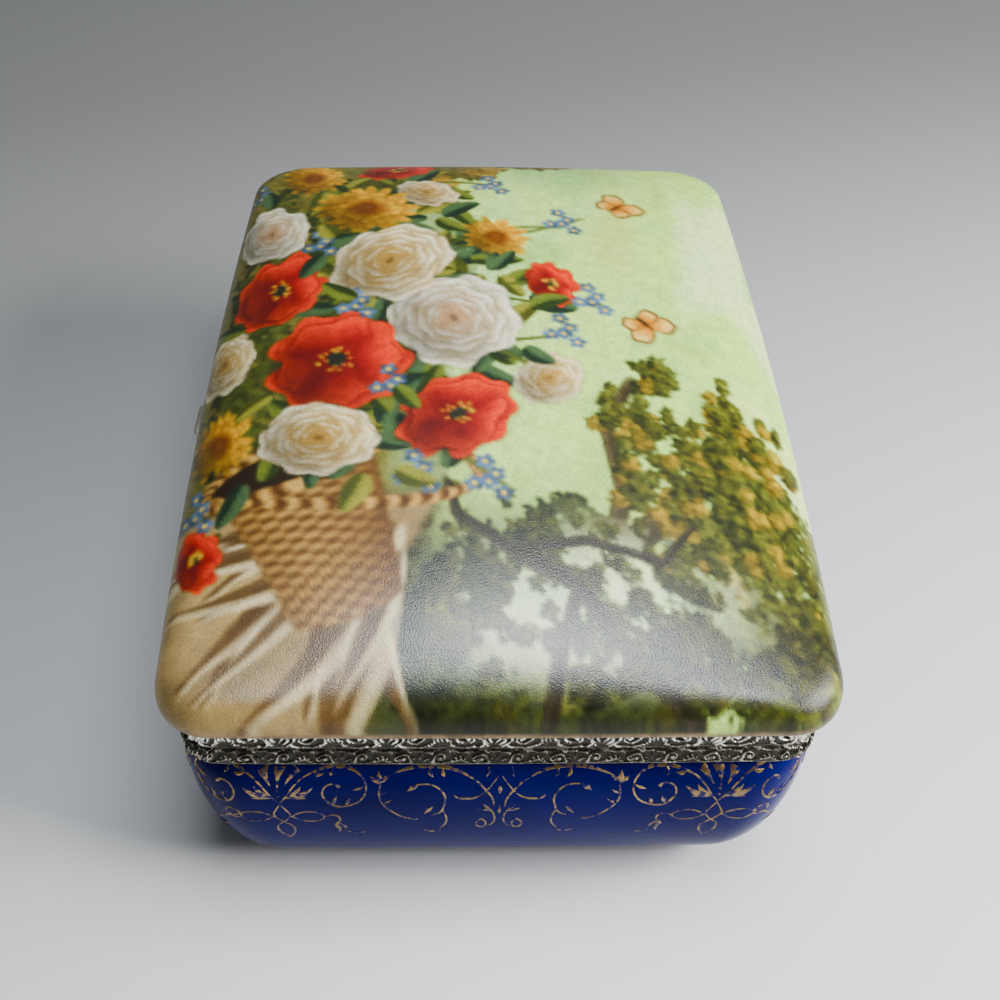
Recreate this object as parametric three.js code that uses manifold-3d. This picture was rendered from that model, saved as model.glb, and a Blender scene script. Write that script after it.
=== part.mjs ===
// A porcelain jewellery box that plays music.
// A domed lid is hinged to a bulging base by two embossed metal rims. Two flocked inserts
// stand in the base, and an eighteen-note movement sits under the one with the tray.
// Millimetres, +Z up, -Y is the clasp side. The ground is at z = 0.
import * as THREE from "three";
import { mergeVertices } from "three/addons/utils/BufferGeometryUtils.js";
import Module from "manifold-3d";

const wasm = await Module();
wasm.setup();

// Plan shape of the box, at the edge of the lid
const lidLength = 179;
const lidWidth = 128;
const lidCorner = 10.5;
const sideBow = 2.3;
const endBow = 0.4;

// Heights of the porcelain. The parting line lies between the two rims.
const partingHeight = 49.5;
const lidEdgeAboveParting = 7.5;
const lidRise = 18;
const lidEdgeThickness = 2.4;
const lidWall = 3.8;
const lipWidth = 3;
const lipDepth = 6;
const bodyWall = 4.2;
const floorUnderside = 9;
const floorThickness = 3.6;
const widestHeight = 34;
const shoulderBelowParting = 5.2;
const footHeight = 2.4;
const footWidth = 3.4;

// Curve of the lid's dome and of the hollow under it. Reach is the share of the half width
// that the curve covers before it closes at the middle.
const domeReach = 0.86;
const domeSpacing = 2.1;
const domeSteepness = 0.39;
const domeCornerGrowth = 0.55;
const hollowReach = 0.84;
const hollowSpacing = 1.8;
const hollowSteepness = 0.5;
const hollowCornerGrowth = 0.5;
const lidEdgeRound = [[0.3, 0.3], [0.9, 0]];

// Curve of the base
const shoulderFullness = 3;
const shoulderShares = [0, 0.4, 0.7, 0.88, 0.97, 1];
const innerShoulderShares = [0.5, 0.8, 0.95, 1];
const bodyCornerExtra = 4;
const bodyCornerShrink = 0.4;

// How far each outline lies inside the lid's edge
const widestInset = 1.2;
const footInset = 12.5;
const rimInset = 3.5;

// Metal rims
const rimThickness = 1.3;
const rimFlangeWidth = 6.2;
const rimFlange = 1;
const partingGap = 0.3;
const baseRimFlare = 0.3;
const beadHeight = 0.6;
const beadSteps = 5;
const padDepth = 0.1;
const hingePadMargin = 1;
const claspPadMargin = 0.8;

// Clearances, and how far a cut runs past the wall it goes through
const gap = 0.3;
const runningGap = 0.1;
const pressGap = 0.05;
const looseGap = 0.5;
const past = 1;

// Heights that follow the parting line
const lidEdgeHeight = partingHeight + lidEdgeAboveParting;
const shoulderHeight = partingHeight - shoulderBelowParting;
const lidRimTop = lidEdgeHeight - gap;
const baseRimBottom = shoulderHeight + gap;
const lidRimBottom = partingHeight + partingGap / 2;
const baseRimTop = partingHeight - partingGap / 2;
const neckHeight = baseRimTop - rimFlange - gap;

// Hinge
const hingeLength = 36;
const knuckleCount = 5;
const knuckleRadius = 1.7;
const hingePinRadius = 0.85;
const hingePinHead = 1.3;
const hingePinHeadLength = 0.8;
const hingePinChamfer = 0.4;
const hingeStandOff = 2.3;
const leafThickness = 0.7;
const baseLeafHeight = 4;
const lidLeafHeight = 4.8;

// Clasp
const claspWidth = 11.6;
const claspThickness = 0.8;
const claspPlateHeight = 5;
const claspTongueWidth = 8;
const claspTongueDrop = 5.2;
const thumbLipReach = 6.6;
const thumbLipThickness = 1;
const thumbLipLift = 0.9;
const thumbLipCorner = 2.4;
const claspPlay = 0.4;
const knobNeck = 1.2;
const knobHead = 2.3;
const knobTip = 1.7;
const knobDepth = 1.3;
const knobDrop = 2.6;

// Flocked inserts
const insertInset = 10.2;
const insertCorner = 10;
const insertWall = 1.2;
const insertBelowParting = 3.5;
const partitionFromBarrel = 15.5;
const partitionGap = 0.6;
const deckClearance = 1.9;

// Movement: place of the barrel's axis, from which the rest is measured. Along runs towards
// the governor and across towards the hinge.
const barrelFromEnd = 54;
const barrelFromBack = 38.5;
const windingHoleRadius = 4;
const mountingSpots = [[-8.5, -18], [32, -18], [20, 14.5]];
const bedplateThickness = 2;
const bedplateMargin = 0.7;
const bedplateFront = 24.5;
const bedplateBack = 19.5;
const bedplateEnd = 40.5;
const barrelLift = 0.4;
const bearingWall = 1.5;
const cylinderPostHalf = 3;
const cylinderPostRise = 2.6;
const transferPostHalf = 1.4;
const transferPostRise = 1.7;
const transferPostInset = 2.2;

// End bracket
const bracketThickness = 1.4;
const bracketFootThickness = 1.25;
const bracketFootReach = 4.6;
const bracketFront = 8;
const bracketFootBack = 1.6;
const bracketBack = 2.2;
const bracketScrewInset = 2.4;
const endPlateStandOff = 2;
const armClearance = 0.9;
const armHalf = 2;
const armReach = 2.4;
const ribDepth = 2.2;
const guideHalf = 1.5;

// Spring barrel, and the contrate teeth that stand on it
const barrelRadius = 12.3;
const barrelHeight = 7.1;
const barrelWall = 1.1;
const barrelCapThickness = 0.8;
const barrelTeeth = 36;
const barrelToothRadius = 11.25;
const toothFace = 1.7;
const crownToothHeight = 1.1;
const crownToothWidth = 0.78;
const arborRadius = 1.8;
const arborCoreRadius = 2.8;
const arborProud = 0.2;

// Mainspring
const springTurns = 5;
const springSteps = 65;
const springStrip = 0.4;
const springStart = 3.6;
const springEnd = 10.6;

// Cylinder and its gears
const pinionTeeth = 12;
const cylinderRadius = 5.5;
const cylinderStart = 14.9;
const cylinderLength = 18.6;
const cylinderArborRadius = 0.95;
const notes = 18;
const notePitch = 1;
const pinsPerNote = 2;
const pinHeight = 0.6;
const pinRoot = 0.5;
const pinWidth = 0.45;
const crownPinionTip = 0.42;
const crownPinionRoot = 0.75;
const pinionOverhang = 0.2;
const gearModule = 0.5;
const toothTip = 0.4;
const toothRoot = 0.55;
const wormWheelRoot = 0.45;
const gearPlay = 0.05;
const cylinderGearTeeth = 24;
const gearThickness = 1.4;
const transferPinionTeeth = 8;
const wormWheelTeeth = 24;
const wormWheelThickness = 1.2;
const wheelSpacing = 0.7;
const transferArborRadius = 0.5;
const arborOverhang = 0.4;

// Governor
const wormRadius = 1.6;
const wormRoot = 1;
const wormStarts = 2;
const wormLength = 6;
const wormSides = 12;
const wormSteps = 16;
const wormGap = 0.12;
const governorShaftRadius = 0.5;
const fanRadius = 4.3;
const fanHeight = 4;
const fanBlade = 0.5;
const fanHub = 1.5;
const fanLift = 1.3;

// Comb
const combThickness = 1;
const combTooth = 9;
const combHeel = 6.6;
const combSlot = 0.3;
const combClearance = 0.3;
const combRise = 0.45;
const combScrewInset = 4;

// Screws
const mountingScrewRadius = 1.3;
const mountingScrewHead = 2.6;
const mountingScrewHeadHeight = 1.5;
const smallScrewRadius = 0.8;
const smallScrewHead = 1.9;
const smallScrewHeadHeight = 1.2;
const smallScrewLength = 3.4;
const screwHeadTaper = 0.8;
const screwHeadShoulder = 0.6;
const screwSlotHalf = 0.3;
const screwSlotDepth = 0.4;

// Winding key
const keyHub = 2.7;
const keyBottom = 0.8;
const keyHeight = 7.4;
const keySpan = 20;
const keyThickness = 1.4;
const keyBow = 4.6;
const keyEye = 2.2;
const keyEyeHeight = 1.65;
const keyEyeShift = 0.3;
const arborBottom = 3;

// Stop wire
const stopWireRadius = 0.6;
const stopFinger = 3.2;
const stopStandOff = 1.2;
const lugWidth = 7;
const lugMargin = 1.2;

// Finish of each material
const finishes = {
  picture: { color: 0x8d9a63, roughness: 0.25, metalness: 0 },
  cobalt: { color: 0x07104f, roughness: 0.12, metalness: 0 },
  silver: { color: 0x8b897c, roughness: 0.4, metalness: 1 },
  brass: { color: 0xb08d4a, roughness: 0.35, metalness: 1 },
  steel: { color: 0xa8abae, roughness: 0.3, metalness: 1 },
  zinc: { color: 0x9a9c9c, roughness: 0.55, metalness: 1 },
  flock: { color: 0x141c50, roughness: 1, metalness: 0 },
};

// Sides of round pieces: large, middling and small ones
const largeSides = 36;
const middleSides = 20;
const usualSides = 16;
const smallSides = 12;

const box = new THREE.Group();

// Solids and their meshes

function solid(geometry) {
  const bare = geometry.index ? geometry.toNonIndexed() : geometry.clone();
  bare.deleteAttribute("normal");
  bare.deleteAttribute("uv");
  const merged = mergeVertices(bare, 1e-4);
  return new wasm.Manifold(
    new wasm.Mesh({
      numProp: 3,
      vertProperties: merged.attributes.position.array,
      triVerts: new Uint32Array(merged.index.array),
    }),
  );
}

function geometryOf(body) {
  const mesh = body.getMesh();
  const geometry = new THREE.BufferGeometry();
  geometry.setAttribute("position", new THREE.BufferAttribute(mesh.vertProperties, 3));
  geometry.setIndex(new THREE.BufferAttribute(mesh.triVerts, 1));
  const flat = geometry.toNonIndexed();
  flat.computeVertexNormals();
  return flat;
}

function piece(name, shape, finish) {
  const geometry = shape.isBufferGeometry ? shape : geometryOf(shape);
  const material = new THREE.MeshStandardMaterial(finishes[finish]);
  const mesh = new THREE.Mesh(geometry, material);
  mesh.name = name;
  box.add(mesh);
}

function union(shapes) {
  return shapes.map(solid).reduce((whole, part) => whole.add(part));
}

function block(x0, x1, y0, y1, z0, z1) {
  const geometry = new THREE.BoxGeometry(x1 - x0, y1 - y0, z1 - z0);
  return geometry.translate((x0 + x1) / 2, (y0 + y1) / 2, (z0 + z1) / 2);
}

// A round bar along X, Y or Z, from one place to another on that axis
function bar(axis, radius, from, to, at, sides = usualSides) {
  const geometry = new THREE.CylinderGeometry(radius, radius, to - from, sides);
  const middle = (from + to) / 2;
  if (axis === "x") return geometry.rotateZ(Math.PI / 2).translate(middle, at[0], at[1]);
  if (axis === "y") return geometry.translate(at[0], middle, at[1]);
  return geometry.rotateX(Math.PI / 2).translate(at[0], at[1], middle);
}

function rounded(shape, depth, extra = {}) {
  return new THREE.ExtrudeGeometry(shape, { depth, bevelEnabled: false, curveSegments: 5, ...extra });
}

function roundedRectangle(width, height, radius) {
  const shape = new THREE.Shape();
  const x = width / 2 - radius;
  const y = height / 2 - radius;
  shape.absarc(x, y, radius, 0, Math.PI / 2);
  shape.absarc(-x, y, radius, Math.PI / 2, Math.PI);
  shape.absarc(-x, -y, radius, Math.PI, Math.PI * 1.5);
  shape.absarc(x, -y, radius, Math.PI * 1.5, Math.PI * 2);
  shape.closePath();
  return shape;
}

// Outlines of the box: the lid's edge moved inwards, with bowed sides and round corners

const cornerSteps = 5;
const longSteps = 7;
const shortSteps = 6;
const fullestCorner = 0.96;

function ring(inset, height, corner) {
  const halfX = lidLength / 2 - inset;
  const halfY = lidWidth / 2 - inset;
  const radius = Math.min(corner, halfX * fullestCorner, halfY * fullestCorner);
  const bow = sideBow * Math.min(1, halfY / (lidWidth / 2));
  const corners = [[1, -1], [1, 1], [-1, 1], [-1, -1]];
  const plain = [];
  corners.forEach(([sx, sy], quarter) => {
    const start = (quarter - 1) * (Math.PI / 2);
    for (let i = 0; i <= cornerSteps; i++) {
      const angle = start + (i / cornerSteps) * (Math.PI / 2);
      plain.push([
        sx * (halfX - radius) + radius * Math.cos(angle),
        sy * (halfY - radius) + radius * Math.sin(angle),
      ]);
    }
    const last = plain[plain.length - 1];
    const next = corners[(quarter + 1) % 4];
    const turn = start + Math.PI / 2;
    const goal = [
      next[0] * (halfX - radius) + radius * Math.cos(turn),
      next[1] * (halfY - radius) + radius * Math.sin(turn),
    ];
    const steps = quarter % 2 === 0 ? shortSteps : longSteps;
    for (let i = 1; i < steps; i++) {
      const share = i / steps;
      plain.push([
        last[0] + (goal[0] - last[0]) * share,
        last[1] + (goal[1] - last[1]) * share,
      ]);
    }
  });
  return plain.map(([x, y]) => [
    x * (1 - (endBow / halfX) * (y / halfY) ** 2),
    y * (1 - (bow / halfY) * (x / halfX) ** 2),
    height,
  ]);
}

// Joins rings, listed from the top down the outside and back up the inside, into one skin.
// With poles, the first and last ring close on a point at the middle; otherwise the last
// ring joins the first.
function loft(rings, poles) {
  const count = rings[0].length;
  const points = rings.flat();
  const faces = [];
  const joins = poles ? rings.length - 1 : rings.length;
  for (let i = 0; i < joins; i++) {
    const upper = i * count;
    const lower = ((i + 1) % rings.length) * count;
    for (let j = 0; j < count; j++) {
      const k = (j + 1) % count;
      faces.push(upper + j, lower + j, lower + k, upper + j, lower + k, upper + k);
    }
  }
  if (poles) {
    const first = points.push([0, 0, poles[0]]) - 1;
    const last = points.push([0, 0, poles[1]]) - 1;
    const end = (rings.length - 1) * count;
    for (let j = 0; j < count; j++) {
      const k = (j + 1) % count;
      faces.push(first, j, k);
      faces.push(last, end + k, end + j);
    }
  }
  const geometry = new THREE.BufferGeometry();
  geometry.setAttribute("position", new THREE.Float32BufferAttribute(points.flat(), 3));
  geometry.setIndex(faces);
  return geometry;
}

// Lid shell: a pillow of porcelain with a lip that drops inside the metal rim

const halfWidth = lidWidth / 2;
const lipInset = rimInset + rimThickness + gap;
const lipInnerInset = lipInset + lipWidth;
const lipBottom = lidEdgeHeight - lipDepth;

function pillow(share, steepness) {
  return (1 - (1 - share) ** 2) ** steepness;
}

function lidShell() {
  const rings = [];
  const domeSteps = 11;
  const edgeHalf = lidEdgeThickness / 2;
  const edgeTop = lidEdgeHeight + edgeHalf;
  const top = lidEdgeHeight + lidRise;
  for (let i = domeSteps; i >= 0; i--) {
    const share = (i / domeSteps) ** domeSpacing * domeReach;
    const inset = share * halfWidth;
    const height = edgeTop + (top - edgeTop) * pillow(share, domeSteepness);
    rings.push(ring(inset, height, lidCorner + domeCornerGrowth * inset));
  }
  lidEdgeRound.forEach(([inwards, up]) => {
    rings.push(ring(inwards * edgeHalf, lidEdgeHeight + up * edgeHalf, lidCorner));
  });
  rings.push(ring(lipInset, lidEdgeHeight, lidCorner - rimInset));
  rings.push(ring(lipInset, lipBottom, lidCorner - rimInset));
  rings.push(ring(lipInnerInset, lipBottom, lidCorner - rimInset));
  const hollowEdge = lidEdgeHeight + lidWall;
  const hollowTop = top - lidWall;
  const hollowSteps = 6;
  for (let i = 0; i <= hollowSteps; i++) {
    const share = (i / hollowSteps) ** hollowSpacing * hollowReach;
    const inset = lipInnerInset + share * (halfWidth - lipInnerInset);
    const height = hollowEdge + (hollowTop - hollowEdge) * pillow(share, hollowSteepness);
    const corner = lidCorner - rimInset + hollowCornerGrowth * (inset - lipInnerInset);
    rings.push(ring(inset, height, corner));
  }
  return loft(rings, [top, hollowTop]);
}
piece("lid_shell", lidShell(), "picture");

// Body shell: a bulging porcelain tray on a foot ring, with a neck for the base rim

const floorTop = floorUnderside + floorThickness;
const neckInset = rimInset + rimThickness + gap;

// Inset of the outside of the base at a height: an ellipse below the widest line, and a
// fuller curve above it that ends at the neck
function bulge(height) {
  if (height > widestHeight) {
    const share = (height - widestHeight) / (shoulderHeight - widestHeight);
    const curve = (1 - share ** shoulderFullness) ** (1 / shoulderFullness);
    return neckInset - (neckInset - widestInset) * curve;
  }
  const share = (widestHeight - height) / (widestHeight - footHeight);
  return footInset - (footInset - widestInset) * Math.sqrt(Math.max(0, 1 - share ** 2));
}

function bodyCorner(inset) {
  return lidCorner + bodyCornerExtra - bodyCornerShrink * (inset - widestInset);
}

function bodyRing(height, inwards) {
  const inset = bulge(height) + inwards;
  return ring(inset, height, bodyCorner(inset));
}

const barrelX = barrelFromEnd - lidLength / 2;
const barrelY = halfWidth - barrelFromBack;

function place(along, across) {
  return [barrelX - along, barrelY + across];
}

function bodyShell() {
  const rings = [];
  const wallSteps = 4;
  for (let i = 0; i <= wallSteps; i++) {
    rings.push(bodyRing(floorTop + (widestHeight - floorTop) * (i / wallSteps), bodyWall));
  }
  innerShoulderShares.forEach((share) => {
    rings.push(bodyRing(widestHeight + (shoulderHeight - widestHeight) * share, bodyWall));
  });
  rings.push(ring(neckInset + bodyWall, neckHeight, lidCorner - rimInset));
  rings.push(ring(neckInset, neckHeight, lidCorner - rimInset));
  [...shoulderShares].reverse().forEach((share) => {
    rings.push(bodyRing(widestHeight + (shoulderHeight - widestHeight) * share, 0));
  });
  const bulgeSteps = 8;
  for (let i = 1; i <= bulgeSteps; i++) {
    const angle = (i / bulgeSteps) * (Math.PI / 2);
    rings.push(bodyRing(widestHeight - (widestHeight - footHeight) * Math.sin(angle), 0));
  }
  const footCorner = bodyCorner(footInset);
  rings.push(ring(footInset + gap, 0, footCorner));
  rings.push(ring(footInset + gap + footWidth, 0, footCorner));
  rings.push(ring(footInset + 2 * gap + footWidth, floorUnderside, footCorner));
  let shell = solid(loft(rings, [floorTop, floorUnderside]));
  const through = [floorUnderside - past, floorTop + past];
  shell = shell.subtract(solid(bar("z", windingHoleRadius, ...through, place(0, 0), middleSides)));
  mountingSpots.forEach((spot) => {
    const hole = bar("z", mountingScrewRadius + looseGap, ...through, place(...spot), smallSides);
    shell = shell.subtract(solid(hole));
  });
  return shell;
}
piece("body_shell", bodyShell(), "cobalt");

// Metal rims: a moulded band with a flange turned in along the parting line

const rimFace = halfWidth - rimInset;
const hingePad = hingeLength / 2 + hingePadMargin;
const claspPad = claspWidth / 2 + claspPadMargin;
const padFace = rimFace + padDepth;
const rimCorner = lidCorner - rimInset;

function pads(front, back) {
  return [
    block(-front, front, -lidWidth, -padFace, 0, lidEdgeHeight),
    block(-back, back, padFace, lidWidth, 0, lidEdgeHeight),
  ];
}

function banded(profile) {
  const rings = profile.map(([inset, height]) => ring(inset, height, rimCorner));
  const band = solid(loft(rings));
  return pads(claspPad, hingePad).reduce((rest, cut) => rest.subtract(solid(cut)), band);
}

function beadedFace(top, bottom, flare) {
  const face = [];
  for (let i = 0; i <= beadSteps; i++) {
    const share = i / beadSteps;
    const bulgeOut = beadHeight * Math.sqrt(Math.abs(Math.sin(Math.PI * share)));
    face.push([rimInset - bulgeOut - flare * share, top + (bottom - top) * share]);
  }
  return face;
}

const flangeInset = rimInset + rimFlangeWidth;
const rimBack = rimInset + rimThickness;

// Heights and places in the movement, down to the stop wire that the lid rim's lug holds
const bedBottom = floorTop + gap;
const bedTop = bedBottom + bedplateThickness;
const barrelBottom = bedTop + barrelLift;
const barrelTop = barrelBottom + barrelHeight;
const pinionPitchRadius = (barrelToothRadius * pinionTeeth) / barrelTeeth;
const cylinderHeight = barrelTop + crownToothHeight / 2 + pinionPitchRadius;
const transferAcross = (gearModule * (cylinderGearTeeth + transferPinionTeeth)) / 2 + gearPlay;
const wheelTip = (gearModule * wormWheelTeeth) / 2 + toothTip;
const wormAcross = transferAcross + wheelTip + wormRadius + wormGap;
const stopAcross = wormAcross + fanRadius + stopStandOff;
const gearStart = cylinderStart + cylinderLength + looseGap;
const wheelStart = gearStart + gearThickness + wheelSpacing;
const governorAlong = wheelStart + wormWheelThickness / 2;
const [stopX, stopY] = place(governorAlong, stopAcross);

function lidRim() {
  const lug = block(
    stopX - lugWidth / 2, stopX + lugWidth / 2,
    stopY - stopWireRadius - lugMargin, rimFace - rimFlangeWidth,
    lidRimBottom, lidRimBottom + rimFlange,
  );
  return banded([
    ...beadedFace(lidRimTop, lidRimBottom, 0),
    [flangeInset, lidRimBottom],
    [flangeInset, lidRimBottom + rimFlange],
    [rimBack, lidRimBottom + rimFlange],
    [rimBack, lidRimTop],
  ]).add(solid(lug));
}
piece("lid_rim", lidRim(), "silver");

function baseRim() {
  return banded([
    [flangeInset, baseRimTop],
    ...beadedFace(baseRimTop, baseRimBottom, baseRimFlare),
    [rimBack, baseRimBottom],
    [rimBack, baseRimTop - rimFlange],
    [flangeInset, baseRimTop - rimFlange],
  ]);
}
piece("base_rim", baseRim(), "silver");

// Hinge: leaves on the flat pads of the rims, knuckles turn about, and one pin

const hingeY = rimFace + hingeStandOff;
const leafInner = padFace + gap;
const knuckleLength = (hingeLength - gap * (knuckleCount - 1)) / knuckleCount;
const hingeReach = hingeY + knuckleRadius;

function knuckleSpan(index) {
  const start = -hingeLength / 2 + index * (knuckleLength + gap);
  return [start, start + knuckleLength];
}

function hingeLeaf(low, high, parity) {
  const half = hingeLength / 2;
  const at = [hingeY, partingHeight];
  let leaf = solid(block(-half, half, leafInner, leafInner + leafThickness, low, high));
  for (let i = 0; i < knuckleCount; i++) {
    const [from, to] = knuckleSpan(i);
    if (i % 2 === parity) {
      leaf = leaf.add(solid(bar("x", knuckleRadius, from, to, at)));
    } else {
      leaf = leaf.subtract(solid(bar("x", knuckleRadius + gap, from - gap, to + gap, at)));
    }
  }
  const bore = bar("x", hingePinRadius + runningGap, -half - past, half + past, at);
  return leaf.subtract(solid(bore));
}
const baseLeafTop = partingHeight - gap;
const lidLeafBottom = partingHeight + gap;
piece("base_hinge_leaf", hingeLeaf(baseLeafTop - baseLeafHeight, baseLeafTop, 0), "silver");
piece("lid_hinge_leaf", hingeLeaf(lidLeafBottom, lidLeafBottom + lidLeafHeight, 1), "silver");

function hingePin() {
  const half = hingeLength / 2 + runningGap;
  const end = half + hingePinHeadLength;
  const profile = [
    [0, -end],
    [hingePinHead - hingePinChamfer, -end],
    [hingePinHead, hingePinChamfer - end],
    [hingePinHead, -half],
    [hingePinRadius, -half],
    [hingePinRadius, half],
    [hingePinHead, half],
    [hingePinHead, end - hingePinChamfer],
    [hingePinHead - hingePinChamfer, end],
    [0, end],
  ].map(([radius, length]) => new THREE.Vector2(radius, length));
  const pin = new THREE.LatheGeometry(profile, usualSides).rotateZ(-Math.PI / 2);
  return solid(pin.translate(0, hingeY, partingHeight));
}
piece("hinge_pin", hingePin(), "silver");

// Clasp: a plate on the lid rim with a forked tongue and a thumb lip, and a knob on the base

const claspInner = padFace + gap;
const claspOuter = claspInner + claspThickness;
const knobHeight = partingHeight - knobDrop;
const claspReach = claspInner + thumbLipReach;

function claspPlate() {
  const bottom = partingHeight + gap;
  const plate = block(
    -claspWidth / 2, claspWidth / 2, -claspOuter, -claspInner, bottom, bottom + claspPlateHeight,
  );
  const tongue = block(
    -claspTongueWidth / 2, claspTongueWidth / 2,
    -claspOuter, -claspInner,
    bottom - claspTongueDrop, bottom + thumbLipLift,
  );
  const notchHalf = knobNeck + claspPlay;
  const notchReach = [-claspOuter - past, -claspInner + past];
  const notch = block(
    -notchHalf, notchHalf, ...notchReach, bottom - claspTongueDrop - past, knobHeight,
  );
  const notchTop = bar("y", notchHalf, ...notchReach, [0, knobHeight]);
  const lipShape = roundedRectangle(claspWidth, thumbLipReach * 2, thumbLipCorner);
  const lip = rounded(lipShape, thumbLipThickness);
  lip.translate(0, -claspInner, bottom + thumbLipLift);
  const inside = block(-claspWidth, claspWidth, -claspInner, halfWidth, 0, lidEdgeHeight);
  return union([plate, tongue, lip])
    .subtract(solid(notch))
    .subtract(solid(notchTop))
    .subtract(solid(inside));
}
piece("clasp_plate", claspPlate(), "silver");

function claspKnob() {
  const start = padFace + runningGap;
  const headStart = claspOuter + claspPlay;
  const headEnd = headStart + knobDepth;
  const profile = [
    [0, start],
    [knobNeck, start],
    [knobNeck, headStart],
    [knobHead, headStart],
    [knobHead, headStart + knobDepth / 2],
    [knobTip, headEnd],
    [0, headEnd],
  ].map(([radius, reach]) => new THREE.Vector2(radius, reach));
  const knob = new THREE.LatheGeometry(profile, usualSides).rotateX(Math.PI);
  return solid(knob.translate(0, 0, knobHeight));
}
piece("clasp_knob", claspKnob(), "silver");

// Flocked inserts: each is cut from one outline that drops through the neck

const insertBottom = floorTop + gap;
const insertTop = partingHeight - insertBelowParting;
const partition = barrelX + partitionFromBarrel;
const coverDeckUnder = cylinderHeight + wheelTip + deckClearance;
const deckHeight = coverDeckUnder + insertWall;

function insertBody(inset, low, high) {
  return solid(loft([ring(inset, high, insertCorner), ring(inset, low, insertCorner)], [high, low]));
}

function side(from, to) {
  return solid(block(from, to, -lidWidth, lidWidth, 0, lidEdgeHeight));
}

function jewelTray() {
  const inner = insertBody(insertInset + insertWall, insertBottom + insertWall, insertTop + past)
    .intersect(side(partition + partitionGap / 2 + insertWall, lidLength));
  return insertBody(insertInset, insertBottom, insertTop)
    .intersect(side(partition + partitionGap / 2, lidLength))
    .subtract(inner);
}
piece("jewel_tray", jewelTray(), "flock");

function movementCover() {
  const kept = side(-lidLength, partition - partitionGap / 2);
  const hollow = side(-lidLength, partition - partitionGap / 2 - insertWall);
  const inset = insertInset + insertWall;
  const above = insertBody(inset, deckHeight, insertTop + past).intersect(hollow);
  const below = insertBody(inset, insertBottom - past, coverDeckUnder).intersect(hollow);
  const through = [coverDeckUnder - past, deckHeight + past];
  const hole = bar("z", stopWireRadius + looseGap, ...through, [stopX, stopY], smallSides);
  return insertBody(insertInset, insertBottom, insertTop)
    .intersect(kept)
    .subtract(above)
    .subtract(below)
    .subtract(solid(hole));
}
piece("movement_cover", movementCover(), "flock");

// Bedplate, with its bearing posts and the comb's ledge

const combTop = cylinderHeight + combRise;
const combBottom = combTop - combThickness;
const combTip = cylinderRadius + pinHeight + combClearance;
const combRoot = combTip + combTooth;
const combBack = combRoot + combHeel;
const combWidth = notes * notePitch;
const combStart = cylinderStart + (cylinderLength - combWidth) / 2;
const combScrewAlong = [combStart + combScrewInset, combStart + combWidth - combScrewInset];
const combScrewAcross = -(combRoot + combHeel / 2);
const innerPost = barrelRadius + looseGap;
const transferPost = cylinderStart + cylinderLength - transferPostInset;
const endPlate = governorAlong + endPlateStandOff;
const bracketScrewAlong = endPlate - bracketFootReach / 2;
const bracketScrewSpots = [
  [bracketScrewAlong, bracketScrewInset - bracketFront],
  [bracketScrewAlong, transferAcross - bracketFootBack - bracketScrewInset],
];

// A block and a bar in the movement's own directions
function moved(along0, along1, across0, across1, z0, z1) {
  return block(
    barrelX - along1, barrelX - along0, barrelY + across0, barrelY + across1, z0, z1,
  );
}

function shaft(radius, along0, along1, across, height, sides = usualSides) {
  return bar("x", radius, barrelX - along1, barrelX - along0, [barrelY + across, height], sides);
}

function bedplate() {
  const plate = moved(
    -barrelRadius - bedplateMargin, bedplateEnd, -bedplateFront, bedplateBack, bedBottom, bedTop,
  );
  const ledge = moved(
    combStart, combStart + combWidth, -combBack, -combRoot - gap, bedBottom, combBottom - runningGap,
  );
  const post = moved(
    innerPost, innerPost + bearingWall,
    -cylinderPostHalf, cylinderPostHalf,
    bedBottom, cylinderHeight + cylinderPostRise,
  );
  const transfer = moved(
    transferPost, transferPost + bearingWall,
    transferAcross - transferPostHalf, transferAcross + transferPostHalf,
    bedBottom, cylinderHeight + transferPostRise,
  );
  let bed = union([plate, ledge, post, transfer]);
  const through = [bedBottom - past, bedTop + past];
  const postBore = [innerPost - past, innerPost + bearingWall + past];
  const transferPostBore = [transferPost - past, transferPost + bearingWall + past];
  const worm = place(governorAlong, wormAcross);
  const cuts = [
    bar("z", arborRadius + runningGap, ...through, place(0, 0), middleSides),
    bar("z", governorShaftRadius + runningGap, ...through, worm, smallSides),
    shaft(cylinderArborRadius + runningGap, ...postBore, 0, cylinderHeight),
    shaft(
      transferArborRadius + runningGap, ...transferPostBore,
      transferAcross, cylinderHeight, smallSides,
    ),
  ];
  mountingSpots.forEach((spot) => {
    const at = place(...spot);
    cuts.push(bar("z", mountingScrewRadius + runningGap, ...through, at, smallSides));
  });
  const combHole = [combTop - smallScrewLength - gap, combBottom + past];
  combScrewAlong.forEach((along) => {
    const spot = place(along, combScrewAcross);
    cuts.push(bar("z", smallScrewRadius + runningGap, ...combHole, spot, smallSides));
  });
  bracketScrewSpots.forEach((spot) => {
    const at = place(...spot);
    cuts.push(bar("z", smallScrewRadius + runningGap, ...through, at, smallSides));
  });
  cuts.forEach((cut) => {
    bed = bed.subtract(solid(cut));
  });
  return bed;
}
piece("bedplate", bedplate(), "zinc");

// End bracket: the outer bearings of the cylinder and the wheel, and an arm over the governor

const bracketBottom = bedTop + pressGap;
const bracketFootTop = bracketBottom + bracketFootThickness;
const armHeight = cylinderHeight + wormLength / 2 + armClearance;
const armTop = armHeight + bracketThickness;

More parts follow.
